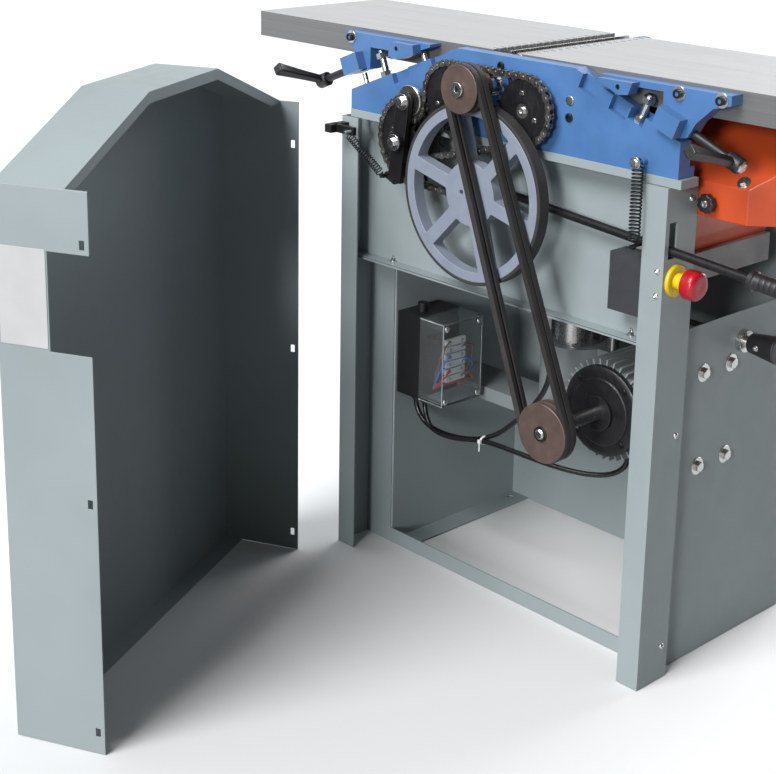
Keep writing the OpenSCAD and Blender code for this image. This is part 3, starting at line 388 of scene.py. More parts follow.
def tube(bm, points, r, sides=10, closed=False):
    """A round wire along points, with flat ends unless it is closed."""
    rings = []
    angles = [math.tau * k / sides for k in range(sides)]
    for p, u, v in transport([Vector(p) for p in points], closed):
        rings.append([bm.verts.new(p + r * (math.cos(a) * u + math.sin(a) * v)) for a in angles])
    for low, high in zip(rings, rings[1:]):
        bridge(bm, low, high)
    if closed:
        bridge(bm, rings[-1], rings[0])
    else:
        bm.faces.new(rings[0][::-1])
        bm.faces.new(rings[-1])


def plate(bm, outlines, middle, along, thick, round_by=0.0, across=None):
    """A flat plate with holes: the first outline is its edge. Its edges are rounded over."""
    data = bpy.data.curves.new("outline", "CURVE")
    data.dimensions = "2D"
    data.fill_mode = "BOTH"
    data.extrude = thick / 2 - round_by
    data.bevel_depth = round_by
    data.bevel_resolution = 2
    data.offset = -round_by
    for outline in outlines:
        spline = data.splines.new("POLY")
        spline.points.add(len(outline) - 1)
        spline.use_cyclic_u = True
        for point, (u, v) in zip(spline.points, outline):
            point.co = (u, v, 0, 1)
    holder = bpy.data.objects.new("outline", data)
    mesh = bpy.data.meshes.new_from_object(holder)
    mesh.transform(axes(middle, along, across))
    bm.from_mesh(mesh)
    bpy.data.objects.remove(holder)
    bpy.data.curves.remove(data)
    bpy.data.meshes.remove(mesh)


def block(bm, low, high):
    """A box between two corners; its edges are rounded by the piece's bevel."""
    made = bmesh.ops.create_cube(bm, size=1)
    middle = (Vector(low) + Vector(high)) / 2
    size = Vector(high) - Vector(low)
    spot = Matrix.Translation(middle) @ Matrix.Diagonal((*size, 1))
    bmesh.ops.transform(bm, matrix=spot, verts=made["verts"])


SHARP_EDGE = math.radians(40)
BEVEL_EDGE = math.radians(32)
SAME_POINT = 1e-7


def soften(piece, bevel):
    """Rounds the sharp edges and keeps flat faces flat in shading."""
    if bevel:
        made = piece.modifiers.new("edges", "BEVEL")
        made.width = bevel * MM
        made.segments = 2
        made.limit_method = "ANGLE"
        made.angle_limit = BEVEL_EDGE
        made.use_clamp_overlap = True
    weighted = piece.modifiers.new("shading", "WEIGHTED_NORMAL")
    weighted.keep_sharp = True


def piece(name, bm, look, body, replaces=None, bevel=0.0, slot=None):
    """Turns a mesh in millimetres into a piece that rides on a body, and may stand for a node."""
    bmesh.ops.scale(bm, vec=(MM, MM, MM), verts=bm.verts)
    bmesh.ops.remove_doubles(bm, verts=bm.verts, dist=SAME_POINT)
    bmesh.ops.recalc_face_normals(bm, faces=bm.faces)
    for face in bm.faces:
        face.smooth = True
    for edge in bm.edges:
        edge.smooth = edge.is_manifold and edge.calc_face_angle(0) < SHARP_EDGE
    mesh = bpy.data.meshes.new(name)
    bm.to_mesh(mesh)
    bm.free()
    made = bpy.data.objects.new(name, mesh)
    bpy.context.scene.collection.objects.link(made)
    mesh.materials.append(LOOKS.get(look) or EXTRA[look])
    soften(made, bevel)
    if body:
        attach(made, body)
    if replaces:
        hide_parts(replaces)
    return made


def at_depth(middle, y):
    """The point at a depth on an axis along Y through (x, z)."""
    return (middle[0], y, middle[1])


# Fasteners


def socket_screw(bm, at, out, r, tall):
    """Cap screw with a round socket."""
    profile = [(-0.4, 0), (-0.4, r), (tall - 0.8, r), (tall, r - 0.8), (tall, r * 0.55),
               (tall * 0.4, r * 0.5), (tall * 0.35, 0)]
    turned(bm, profile, at, out, 32)


def hex_bolt(bm, at, out, r, tall, washer):
    """Hexagon head with a chamfered top on a washer."""
    turned(bm, [(-0.5, 0), (-0.5, washer), (1.1, washer), (1.5, washer - 0.4), (1.5, 0)], at, out, 32)
    turned(bm, [(1, 0), (1, r), (tall - 0.6, r), (tall + 0.3, r * 0.86), (tall + 0.3, 0)], at, out, 6)


def pan_screw(bm, at, out, r=4.5, tall=2.6):
    """Low domed screw with a dimple for the driver."""
    profile = [(-0.5, 0), (-0.5, r), (0.4, r), (tall * 0.6, r * 0.85), (tall, r * 0.45),
               (tall * 0.72, r * 0.2), (tall * 0.6, 0)]
    turned(bm, profile, at, out, 24)


# Belts and chains: wheels are (x, z, radius, side), side 1 inside the loop and -1 outside it


def heading(a, b):
    """Direction of the straight run from one wheel to the next."""
    between = math.atan2(b[1] - a[1], b[0] - a[0])
    return between + math.asin((a[3] * a[2] - b[3] * b[2]) / math.dist(a[:2], b[:2]))


def touch(c, a):
    """Point of a wheel where the line runs in a direction."""
    return (c[0] + c[3] * c[2] * math.sin(a), c[1] - c[3] * c[2] * math.cos(a))


LOOP_STEP = math.radians(3)


def loop(wheels):
    """Points along a belt or chain, round every wheel in turn."""
    points = []
    for i, c in enumerate(wheels):
        start = heading(wheels[i - 1], c)
        end = heading(c, wheels[(i + 1) % len(wheels)])
        total = (end - start) % math.tau if c[3] > 0 else -((start - end) % math.tau)
        count = max(1, math.ceil(abs(total) / LOOP_STEP))
        points += [touch(c, start + total * k / count) for k in range(count + 1)]
    return points


def spaced(points, count):
    """The same closed line as count points an equal distance apart, and its length."""
    ring = points + points[:1]
    lengths = [math.dist(a, b) for a, b in zip(ring, ring[1:])]
    total = sum(lengths)
    made = []
    for k in range(count):
        left = k * total / count % total
        for a, b, length in zip(ring, ring[1:], lengths):
            if left <= length and length > 0:
                made.append(Vector([p + (q - p) * left / length for p, q in zip(a, b)]))
                break
            left -= length
    return made, total


# Other axes along Y through (x, z), and depths along Y

PITCH = 12.7
CASTING_FRONT = -206
REDUCTION_Y, FEED_Y = -212, -222
WHEEL = (0, 651.2)
STUD = (-157, 699)
IDLER = (-149, 759)
INFEED = (71, 777)
OUTFEED = (-71, 777)
DRIVE_TEETH, LARGE_TEETH, SMALL_TEETH, FEED_TEETH = 10, 31, 14, 23
LINK_R, LINK_WAIST = 5.1, 3.4
INNER_LINK, OUTER_LINK = 2.9, 3.65
LINK_HALF = 0.35


def pitch_r(teeth):
    return PITCH / (2 * math.sin(math.pi / teeth))


def chain(name, wheels, y, node):
    """Roller chain: waisted plates in two layers, with pins and rollers."""
    line = loop(wheels)
    length = spaced(line, 1)[1]
    pins = spaced(line, 2 * round(length / PITCH / 2))[0]
    bm = bmesh.new()
    for i, (a, b) in enumerate(zip(pins, pins[1:] + pins[:1])):
        at = Vector((a.x, y, a.y))
        along = Vector((b.x - a.x, 0, b.y - a.y))
        gap = along.length
        u = along.normalized()
        v = u.cross(Y)
        out = OUTER_LINK if i % 2 else INNER_LINK
        near = [polar(LINK_R, math.radians(d)) for d in range(50, 311, 26)]
        far = [(gap - p[0], -p[1]) for p in near]
        ring = [*near, (gap / 2, -LINK_WAIST), *far, (gap / 2, LINK_WAIST)]
        for side in (-1, 1):
            layers = []
            for half in (-LINK_HALF, LINK_HALF):
                off = Y * (side * out + half)
                layers.append([bm.verts.new(at + u * p[0] + v * p[1] + off) for p in ring])
            bridge(bm, *layers)
            bm.faces.new(layers[0][::-1])
            bm.faces.new(layers[1])
        turned(bm, [(-4.4, 0), (-4.4, 1.6), (-4.1, 2), (4.1, 2), (4.4, 1.6), (4.4, 0)], at, Y, 10)
        turned(bm, [(-2.4, 2), (-2.4, 4.2), (2.4, 4.2), (2.4, 2)], at, Y, 14)
    piece(name, bm, "chain_steel", "machine", node)


TIP_HEIGHT = 4.1
TIP_SHARE = 0.14
GAP_R = 4.3


def sprocket_outline(teeth):
    """Teeth with round gaps for the chain's rollers."""
    r = pitch_r(teeth)
    half = math.pi / teeth
    points = []
    for i in range(teeth):
        base = math.tau * i / teeth
        points += [polar(r + TIP_HEIGHT, base + side * TIP_SHARE * half) for side in (-1, 1)]
        gap = Vector(polar(r, base + half))
        inward = base + half + math.pi
        points += [polar(GAP_R, inward + math.radians(d), gap) for d in (62, 35, 0, -35, -62)]
    return points


IDLER_LINE_R = 29.4
BELT_OUT = 0.6
CUTTER_PULLEY_R, MOTOR_PULLEY_R = 34, 42
FEED_WHEELS = [
    (*STUD, pitch_r(SMALL_TEETH), 1), (*INFEED, pitch_r(FEED_TEETH), 1), (*OUTFEED, pitch_r(FEED_TEETH), 1),
    (*IDLER, IDLER_LINE_R, -1),
]
REDUCTION_WHEELS = [(*STUD, pitch_r(LARGE_TEETH), 1), (*WHEEL, pitch_r(DRIVE_TEETH), 1)]
BELT_WHEELS = [(*CUTTER, CUTTER_PULLEY_R + BELT_OUT, 1), (*MOTOR, MOTOR_PULLEY_R + BELT_OUT, 1)]

# Cables


def smooth(points, per=6):
    """A Catmull-Rom line through the points."""
    p = [Vector(q) for q in points]
    p = [2 * p[0] - p[1]] + p + [2 * p[-1] - p[-2]]
    made = []
    for a, b, c, d in zip(p, p[1:], p[2:], p[3:]):
        for k in range(per):
            t = k / per
            made.append(0.5 * (2 * b + (c - a) * t + (2 * a - 5 * b + 4 * c - d) * t * t
                               + (3 * b - a - 3 * c + d) * t ** 3))
    return made + [p[-2]]


CABLE_R = 4
MOTOR_CABLE = [
    (-214.5, -112.5, 248), (-214.5, -112.5, 239), (-208, -115, 225), (-195, -119, 213), (-175, -121.5, 208.5),
    (-150, -122, 209), (-125, -122, 213), (-100, -121.5, 219), (-75, -121, 224), (-50, -120.5, 226),
    (-20, -119, 226), (15, -116, 225), (50, -112, 224), (85, -106, 224), (115, -99, 226), (140, -92, 231),
    (157, -87, 239), (168.5, -84.4, 250), (174, -84, 262), (174, -84, 270),
]
STOP_CABLE = [
    (268, -184, 531), (268, -184, 515), (268, -183, 498), (267.5, -180.5, 482), (265, -175, 467),
    (259, -165, 455), (249, -151, 448.5), (236, -135, 447), (220, -118, 449), (200, -103, 452),
    (176, -91, 455.5), (148, -82.5, 459), (118, -77, 462.5), (88, -74.5, 465), (58, -75, 467),
    (30, -77, 468.5), (8, -84, 470), (-8, -97, 471.5), (-13, -113, 472.5), (-7, -129, 473.5),
    (8, -139.5, 474), (28, -144.5, 471.5), (46, -146, 463), (59, -146, 449), (66, -144.5, 431),
    (68.5, -142, 412), (68, -139, 394), (63, -135, 374), (54, -131, 353), (42, -127.5, 334),
    (27, -124.5, 315.5), (10, -122, 297.5), (-8, -120, 280), (-27, -118, 262.5), (-48, -116, 245),
    (-72, -114, 230), (-98, -112.5, 218.5), (-124, -112, 211), (-150, -112, 206.5), (-174, -112, 205),
    (-196, -112.5, 207), (-214, -112.5, 213), (-227, -112.5, 224), (-234.5, -112.5, 239),
    (-234.5, -112.5, 248),
]


def cable(name, points, node):
    """A held cable between two fittings of the machine."""
    line = smooth(points)
    bm = bmesh.new()
    tube(bm, line, CABLE_R, 14)
    made = piece(name, bm, "cable", "machine", node, slot="black_plastic")


cable("motor_cable_jacket", MOTOR_CABLE, "motor_cable")
cable("stop_cable_jacket", STOP_CABLE, "stop_cable")

TIE_AT = Vector((-78, -116.6, 224))
TIE_DEEP, TIE_TALL = 9.6, 6.4


def cable_tie():
    """White tie round both cables where they part, with its head and its cut tail."""
    around = [TIE_AT + Vector((0, TIE_DEEP * u, TIE_TALL * v)) for u, v in circle(1, steps=28)]
    bm = bmesh.new()
    for shift in (-1.2, 0, 1.2):
        tube(bm, [p + X * shift for p in around], 0.9, 6, closed=True)
    block(bm, TIE_AT + Vector((-3, -13, -3)), TIE_AT + Vector((3, -9, 3)))
    block(bm, TIE_AT + Vector((-1.2, -12, -16)), TIE_AT + Vector((1.2, -11, -2)))
    piece("cable_tie", bm, "white", "machine", bevel=0.4, slot="bare_plate")


cable_tie()

# Drive

BELT_MIDDLES = (-270, -258.5)


def belts():
    """Two V-belts side by side, each a wedge section run round both pulleys."""
    line = loop(BELT_WHEELS)
    section = [(0, -4.6), (0.5, -4.0), (0.5, 4.0), (0, 4.6), (-1.2, 4.5), (-7.6, 3.2), (-7.6, -3.2),
               (-1.2, -4.5)]
    bm = bmesh.new()
    for middle in BELT_MIDDLES:
        rings = []
        for i, p in enumerate(line):
            before, after = line[i - 1], line[(i + 1) % len(line)]
            along = Vector((after[0] - before[0], after[1] - before[1])).normalized()
            rings.append([bm.verts.new((p[0] + along.y * out, middle + side, p[1] - along.x * out))
                          for out, side in section])
        for low, high in zip(rings, rings[1:] + rings[:1]):
            bridge(bm, low, high)
    piece("wedge_belts", bm, "belt", "machine", "v_belts", slot="tyre_rubber")


PULLEY_BACK = -252
SHAFT_FRONT = -279.8
GROOVE = 9.5


def pulley(name, r, middle, look, body, node):
    """Two-groove pulley with a flat face round its shaft."""
    root = r - GROOVE
    profile = [(0, 9.9), (0, r - 1), (0.8, r), (1.6, r), (3.4, root), (9.6, root), (11.4, r), (13.1, r),
               (14.9, root), (21.1, root), (22.9, r), (24.2, r), (25, r - 0.9), (25, 10.7), (24.3, 9.9)]
    bm = bmesh.new()
    hollow(bm, profile, at_depth(middle, PULLEY_BACK), -Y, 64)
    piece(name, bm, look, body, node, slot="brown_pulley")


def shaft_end(name, middle, body, screw_r):
    """What closes the end of a pulley's shaft: a screw or a ring, in front of a black disc that is painted
    shade for the recess round the shaft.
    """
    end = at_depth(middle, SHAFT_FRONT)
    bm = bmesh.new()
    if screw_r:
        hex_bolt(bm, end, -Y, screw_r, 3, screw_r + 0.6)
    else:
        hollow(bm, [(0, 3.6), (0, 10.4), (1.2, 10.4), (1.8, 9.8), (1.8, 4.6), (1.2, 3.6)], end, -Y, 32)
    piece(name, bm, "bright_steel", body)
    # Painted shade: a black disc where the recess round the shaft lies in shade
    bm = bmesh.new()
    turned(bm, [(0, 0), (0, 10.2), (0.6, 10.2), (0.6, 0)], end, -Y, 32)
    piece(name + "_recess_shade", bm, "black_steel", body)


def rounded(points, r, steps):
    """The outline with each corner rounded over."""
    made = []
    for i, p in enumerate(points):
        p, a, b = Vector(p), Vector(points[i - 1]), Vector(points[(i + 1) % len(points)])
        cut = min(r, (a - p).length / 2, (b - p).length / 2)
        start, end = p + (a - p).normalized() * cut, p + (b - p).normalized() * cut
        for k in range(steps + 1):
            t = k / steps
            made.append(tuple((1 - t) ** 2 * start + 2 * t * (1 - t) * p + t * t * end))
    return made


WHEEL_FRONT, WHEEL_BACK = -249, -229
RIM_R, TYRE_R = 125, 130
WINDOW_INNER, WINDOW_OUTER = 46, 111
SPOKES = 6
SPOKE_W = 20
FIRST_SPOKE = math.radians(46)


def wheel_window(i):
    """Outline of one opening between two spokes, a wedge between the circles of the hub and the rim."""
    low = FIRST_SPOKE + math.tau * i / SPOKES
    sides = []
    for r, count in ((WINDOW_INNER, 6), (WINDOW_OUTER, 14)):
        edge = math.asin(SPOKE_W / 2 / r)
        step = (math.tau / SPOKES - 2 * edge) / count
        sides.append([polar(r, low + edge + step * k) for k in range(count + 1)])
    return rounded(sides[0][::-1] + sides[1], 3, 2)


def feed_wheel():
    """Friction wheel: a flat plate with wedge openings, and a rubber tyre."""
    bm = bmesh.new()
    middle = at_depth(WHEEL, (WHEEL_FRONT + WHEEL_BACK) / 2)
    front = at_depth(WHEEL, WHEEL_FRONT)
    thick = WHEEL_BACK - WHEEL_FRONT
    holes = [circle(3.5, (side * 16, 0)) for side in (-1, 1)]
    windows = [wheel_window(i) for i in range(SPOKES)]
    plate(bm, [circle(RIM_R, steps=120), *windows, *holes, circle(10.1)], middle, -Y, thick, 0.7, across=X)
    turned(bm, [(0, 0), (0, 10.9), (5, 10.9), (5, 0)], front, Y, 36)
    hollow(bm, [(19, 10.1), (19, 14), (39.4, 14), (39.4, 10.1)], front, Y, 48)
    piece("friction_wheel", bm, "wheel_alloy", "friction_wheel", "feed_wheel")
    bm = bmesh.new()
    profile = [(0.4, RIM_R), (0, RIM_R + 0.6), (0, TYRE_R - 1), (0.9, TYRE_R), (thick - 0.9, TYRE_R),
               (thick, TYRE_R - 1), (thick, RIM_R + 0.6), (thick - 0.4, RIM_R)]
    hollow(bm, profile, front, Y, 120)
    piece("wheel_tread", bm, "tyre_rubber", "friction_wheel", "wheel_tyre")


SPROCKET_THICK = 4.6
DISH_BOLTS_R = 24


def sprocket(bm, teeth, middle, y, bore):
    outlines = [sprocket_outline(teeth), circle(bore)]
    plate(bm, outlines, at_depth(middle, y), -Y, SPROCKET_THICK, 0.5, across=X)


def feed_sprocket(name, middle, body, node):
    """Dished black sprocket with three bolts round a bright ring."""
    bm = bmesh.new()
    sprocket(bm, FEED_TEETH, middle, FEED_Y, 10)
    dish = [(-1, 10), (-1, 34), (1.6, 34), (2.4, 33), (2.4, 20), (4, 18), (4, 10)]
    hollow(bm, dish, at_depth(middle, FEED_Y), -Y, 48)
    piece(name, bm, "black_steel", body, node)
    bm = bmesh.new()
    hollow(bm, [(0, 3), (0, 6), (2.4, 6), (3, 5.4), (3, 3)], at_depth(middle, FEED_Y - 4), -Y, 24)
    for degrees in (95, 215, 335):
        spot = polar(DISH_BOLTS_R, math.radians(degrees), middle)
        hex_bolt(bm, at_depth(spot, FEED_Y - 2.4), -Y, 3.4, 2.6, 3.8)
    piece(name + "_bolts", bm, "bright_steel", body)


def intermediate():
    """Large and small sprocket on one hub."""
    bm = bmesh.new()
    sprocket(bm, LARGE_TEETH, STUD, REDUCTION_Y, 10.1)
    sprocket(bm, SMALL_TEETH, STUD, FEED_Y, 10.1)
    hollow(bm, [(0, 10.1), (0, 18), (10, 18), (10, 10.1)], at_depth(STUD, REDUCTION_Y), -Y, 36)
    piece("stud_sprockets", bm, "black_steel", "intermediate", "intermediate_sprockets", slot="chain_steel")


CAP_STEPS = 10


def strap(points, w, square=False):
    """Outline of a flat bar along points, with round ends or a square first one."""
    p = [Vector(q) for q in points]
    left, right = [], []
    for i, q in enumerate(p):
        along = (p[min(i + 1, len(p) - 1)] - p[max(i - 1, 0)]).normalized()
        side = Vector((-along.y, along.x)) * w / 2
        left.append(q + side)
        right.append(q - side)

    def cap(middle, start):
        offset = start - middle
        turns = [Matrix.Rotation(-math.pi * k / CAP_STEPS, 2) for k in range(1, CAP_STEPS)]
        return [middle + turn @ offset for turn in turns]

    first = [] if square else cap(p[0], right[0])
    return [tuple(q) for q in [*left, *cap(p[-1], left[-1]), *right[::-1], *first]]


ARM_FRONT, ARM_BACK = -239, -230
ARM_LOWER = (-165, 638)
ARM_PEG = (-181, 645)
STUD_FRONT = -247


def tensioner():
    """Black cranked arm with its pivot bolt, the idler at its upper end and the spring's peg at its lower."""
    bm = bmesh.new()
    middle = (0, (ARM_FRONT + ARM_BACK) / 2, 0)
    thick = ARM_BACK - ARM_FRONT
    arm = strap([ARM_LOWER, STUD, IDLER], 26, square=True)
    plate(bm, [arm, circle(10.06, STUD)], middle, -Y, thick, 1.2, across=X)
    plate(bm, [strap([ARM_LOWER, ARM_PEG], 10)], middle, -Y, thick - 2, 0.8, across=X)
    turned(bm, [(0, 0), (0, 6), (13, 6), (13, 0)], at_depth(IDLER, ARM_BACK - 1), Y, 24)
    peg = [(0, 0), (0, 2.5), (9, 2.5), (9.6, 3.4), (11, 3.4), (11, 0)]
    turned(bm, peg, at_depth(ARM_PEG, ARM_FRONT + 1), -Y, 16)
    piece("tensioner_lever", bm, "black_steel", "tensioner", "tensioner_arm")
    bm = bmesh.new()
    hex_bolt(bm, at_depth(IDLER, ARM_FRONT), -Y, 8, 7, 12)
    piece("idler_bolt", bm, "bright_steel", "tensioner")
    bm = bmesh.new()
    roller = [(0, 6.1), (0, 11), (0.4, 12), (0.4, 17), (0, 18), (0, 22), (1, 23), (6, 23), (7, 22), (7, 6.1)]
    hollow(bm, roller, at_depth(IDLER, FEED_Y - 4), Y, 40)
    piece("idler_wheel", bm, "bright_steel", "idler", "idler_roller")
    bm = bmesh.new()
    hex_bolt(bm, at_depth(STUD, STUD_FRONT), -Y, 7, 6, 12)
    piece("stud_bolt", bm, "bright_steel", "machine")


# Springs

COIL_STEPS = 20


def coil(length, coil_r, eye_r, curls):
    """Centre line of a coil spring with an eye at each end, up the Z axis."""
    low = eye_r + 3
    count = curls * COIL_STEPS
    lower = [polar(eye_r, math.radians(d)) for d in range(-200, 61, 20)]
    upper = [polar(eye_r, math.radians(d), (0, length)) for d in range(-60, 201, 20)]
    turns = []
    for i in range(count + 1):
        height = low + (length - 2 * low) * i / count
        turns.append((*polar(coil_r, math.tau * i / COIL_STEPS), height))
    return smooth([*[(u, 0, w) for u, w in lower], *turns, *[(u, 0, w) for u, w in upper]], 2)


def spring(name, low, high, coil_r, eye_r, wire_r, curls, node):
    """Wire spring between two pegs."""
    low, high = Vector(low), Vector(high)
    spot = axes(low, high - low, across=Y)
    line = coil((high - low).length, coil_r, eye_r, curls)
    bm = bmesh.new()
    tube(bm, [spot @ p for p in line], wire_r, 8)
    made = piece(name, bm, "black_steel", None, node)
    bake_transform(made)


# Levers

CLAMP_TILT = math.radians(22)
HANDLE_LEAN = math.radians(74)


def clamp_lever(name, at, side, body, node):
    """Clamp: a rod out of the bracket, a round hub with a bright cap screw, and a four-sided handle."""
    along = Vector((side * math.cos(CLAMP_TILT), 0, -math.sin(CLAMP_TILT)))
    out = Vector((0, -math.sin(HANDLE_LEAN), math.cos(HANDLE_LEAN)))
    at = Vector(at)
    hub = at + along * 68
    bm = bmesh.new()
    turned(bm, [(-20, 0), (-20, 5.4), (-19.4, 6), (72, 6), (72, 0)], at, along, 24)
    turned(bm, [(0, 0), (0, 9), (2, 11), (20, 11), (22, 9.5), (22, 0)], hub, along, 32)
    piece(name, bm, "black_plastic", body, node)
    bm = bmesh.new()
    handle = [(0, 0), (0, 7.5), (12, 7.5), (40, 8), (70, 9.2), (97, 10.6), (99, 10.2), (99, 0)]
    turned(bm, handle, hub + along * 11, out, 4)
    piece(name + "_arm", bm, "black_plastic", body, bevel=1.8)
    bm = bmesh.new()
    turned(bm, [(21, 0), (21, 8), (24, 8), (25, 7), (25, 0)], hub, along, 6)
    piece(name + "_screw", bm, "bright_steel", body)


ROD_TILT = math.radians(4.5)
ROD_ALONG = Vector((math.cos(ROD_TILT), 0, -math.sin(ROD_TILT)))
ROD_START = Vector((-6, -195, 651.2))


def lever_grip():
    """Ribbed rubber grip with a collar and a domed end."""
    profile = [(438, 6.1), (438, 12), (439, 13), (445, 13), (446, 11.6)]
    for low in range(448, 544, 8):
        profile += [(low, 11), (low + 5, 11), (low + 6, 10.3), (low + 7, 10.3)]
    profile += [(546, 11), (552, 11), (557, 10), (561, 7), (563, 0)]
    bm = bmesh.new()
    turned(bm, profile, ROD_START, ROD_ALONG, 32)
    piece("grip_sleeve", bm, "black_plastic", "feed_lever", "lever_grip")


CRANK_L, CRANK_Z = 110, 460
CRANK_HUB_X, CRANK_SCREW_X, CRANK_ARM_X, CRANK_GRIP_X, CRANK_END_X = 311.5, 330, 351.5, 357.5, 437


def crank():
    """Tapered hub with a set screw, a flat arm and a turning handle."""
    hub = [(0, 8.1), (0, 13), (1, 14), (38, 19), (44, 20), (46, 18.5), (46, 8.1)]
    grip = [(0, 0), (0, 7), (4, 8.5), (10, 10.6), (30, 11.4), (60, 11), (72, 9.6), (78, 7), (80, 0)]
    bm = bmesh.new()
    turned(bm, hub, (CRANK_HUB_X, 0, CRANK_Z), X, 40)
    plate(bm, [strap([(0, 0), (CRANK_L, 0)], 21)], (CRANK_ARM_X, 0, CRANK_Z), X, 11, 2, across=Y)
    turned(bm, grip, (CRANK_GRIP_X, CRANK_L, CRANK_Z), X, 32)
    piece("hand_crank", bm, "black_plastic", "crank", "crank_handle", bevel=0.4)
    bm = bmesh.new()
    socket_screw(bm, (CRANK_SCREW_X, -15.5, CRANK_Z), -Y, 4, 3)
    turned(bm, [(0, 0), (0, 6), (3, 6), (4, 5), (4, 0)], (CRANK_END_X, CRANK_L, CRANK_Z), X, 6)
    piece("crank_screws", bm, "bright_steel", "crank")


# Emergency stop

STOP = Vector((310, -185, 586))


def stop_button():
    """Red head with fine grooves, on a yellow stem in a yellow collar."""
    head = [(20, 0), (20, 18), (20.6, 19.6), (22, 20)]
    for low in (24, 27, 30):
        head += [(low, 20), (low + 0.4, 19.5), (low + 0.8, 20)]
    head += [(34, 20), (37, 19.3), (39.6, 17), (41, 13.5), (41.3, 9), (40.6, 4), (40.4, 0)]
    bm = bmesh.new()
    turned(bm, head, STOP, X, 56)
    piece("stop_head", bm, "red_plastic", "stop", "stop_button")
    bm = bmesh.new()
    turned(bm, [(-14, 0), (-14, 11.4), (14, 11.4), (14.4, 14), (20.5, 14), (20.5, 0)], STOP, X, 40)
    piece("stop_stem", bm, "yellow_plastic", "stop")
    bm = bmesh.new()
    collar = [(0, 11.6), (0, 22), (2.5, 22), (4.2, 21), (5, 19.4), (5, 15), (4, 14), (4, 11.6)]
    hollow(bm, collar, STOP, X, 48)
    piece("stop_collar", bm, "yellow_plastic", "machine", "stop_ring")


# Motor

SHIELD_FRONT, COWL_FRONT = -163, 67
SHIELD_BOLTS_R = 56


def motor():
    """Black cast end shield with its bearing boss and bolts, and the fan cowl at the far end."""
    shield = [(0, 9.6), (0, 24), (1, 26), (5, 27), (6, 36), (7, 47), (8, 49), (9.5, 50), (10, 58), (11, 63),
              (13, 65.5), (16, 66), (16.4, 65), (17, 65), (17.4, 66), (20, 66), (20, 9.6)]
    cowl = [(0, 0), (0, 71), (1, 72), (30, 72), (37, 70), (40, 64), (40, 58), (38, 56), (38, 20), (40, 18),
            (40, 0)]
    bm = bmesh.new()
    hollow(bm, shield, at_depth(MOTOR, SHIELD_FRONT), Y, 64)
    turned(bm, cowl, at_depth(MOTOR, COWL_FRONT), Y, 64)
    piece("motor_shields", bm, "black_steel", "machine", "motor_end_caps")
    bm = bmesh.new()
    for degrees in (45, 135, 225, 315):
        spot = polar(SHIELD_BOLTS_R, math.radians(degrees), MOTOR)
        hex_bolt(bm, at_depth(spot, SHIELD_FRONT + 9.5), -Y, 4, 3.5, 5)
    piece("motor_shield_bolts", bm, "black_steel", "machine")


# Electrical box

TERMINALS, TERMINAL_STEP = 6, 12


def node_box(name):
    """Lowest and highest corner of a node, in millimetres."""
    low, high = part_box(name)
    return low / MM, high / MM


def lid_fittings(low, high):
    """Clear posts, pale beads that paint highlights along the edges, and screws of the box's lid."""
    corners = [(y, z) for y in (low.y + 8, high.y - 8) for z in (low.z + 8, high.z - 8)]
    bm = bmesh.new()
    for y, z in corners:
        turned(bm, [(0, 0), (0, 5), (48.5, 5), (48.5, 0)], (low.x, y, z), X, 20)
    piece("lid_posts", bm, "clear_plastic", "machine")
    bm = bmesh.new()
    # Painted highlight: pale beads along the clear lid's edges
    near, far, bottom, top = low.y + 1, high.y - 1, low.z + 1, high.z - 1
    outline = [(near, bottom), (far, bottom), (far, top), (near, top)]
    front = [Vector((high.x - 1, y, z)) for y, z in outline]
    tube(bm, front, 0.8, 8, closed=True)
    for p in front:
        tube(bm, [(low.x, p.y, p.z), p], 0.8, 8)
    piece("lid_highlight_beads", bm, "lid_highlight_bead", "machine", slot="clear_plastic")
    bm = bmesh.new()
    for y, z in corners:
        pan_screw(bm, (high.x, y, z), X, 5, 2.4)
    piece("lid_screws", bm, "bright_steel", "machine")


def terminals(low):
    """White terminal strip with two screws in each terminal."""
    rows = [low.z + 34 + TERMINAL_STEP * k for k in range(TERMINALS)]
    bm = bmesh.new()
    for z in rows:
        block(bm, (low.x + 33, low.y + 20, z), (low.x + 40, low.y + 62, z + 10))
    piece("terminal_strip", bm, "white", "machine", bevel=0.8, slot="grey_plastic")
    bm = bmesh.new()
    for z in rows:
        for y in (low.y + 28, low.y + 54):
            pan_screw(bm, (low.x + 40, y, z + 5), X, 3, 1.6)
    piece("terminal_screws", bm, "bright_steel", "machine")


def wires(low):
    """Two wires of each colour, from the terminals to the bottom of the box."""
    for c, look in enumerate(("red_wire", "blue_wire", "brown_wire")):
        bm = bmesh.new()
        for k, (start, bend, side) in enumerate(((56, 62, 74), (26, 20, 10))):
            z = low.z + 40 + 2 * TERMINAL_STEP * c + TERMINAL_STEP * k
            line = [(low.x + 38, low.y + start, z), (low.x + 46, low.y + bend, z + 4),
                    (low.x + 44, low.y + side, z - 8), (low.x + 26, low.y + side, low.z + 24 + 6 * c),
                    (low.x + 4, low.y + 30 + 8 * c, low.z + 14)]
            tube(bm, smooth(line), 1.5, 8)
        piece(look, bm, look, "machine", slot="black_plastic")


def electrical_details():
    low, high = node_box("electrical_lid")
    lid_fittings(low, high)
    terminals(low)
    wires(low)


# Screws that hold the sheet metal, castings and tables

BRACKET_FRONT, BLOCK_FRONT = -204, -220
BRACKET_SCREW_Z = 833
COLUMN_SIDE, COLUMN_FRONT = 310, -211
SHELF_TOP = 490
PANEL_SIDE = 295.5
SPRING_X, SPRING_TOP = 268, 740


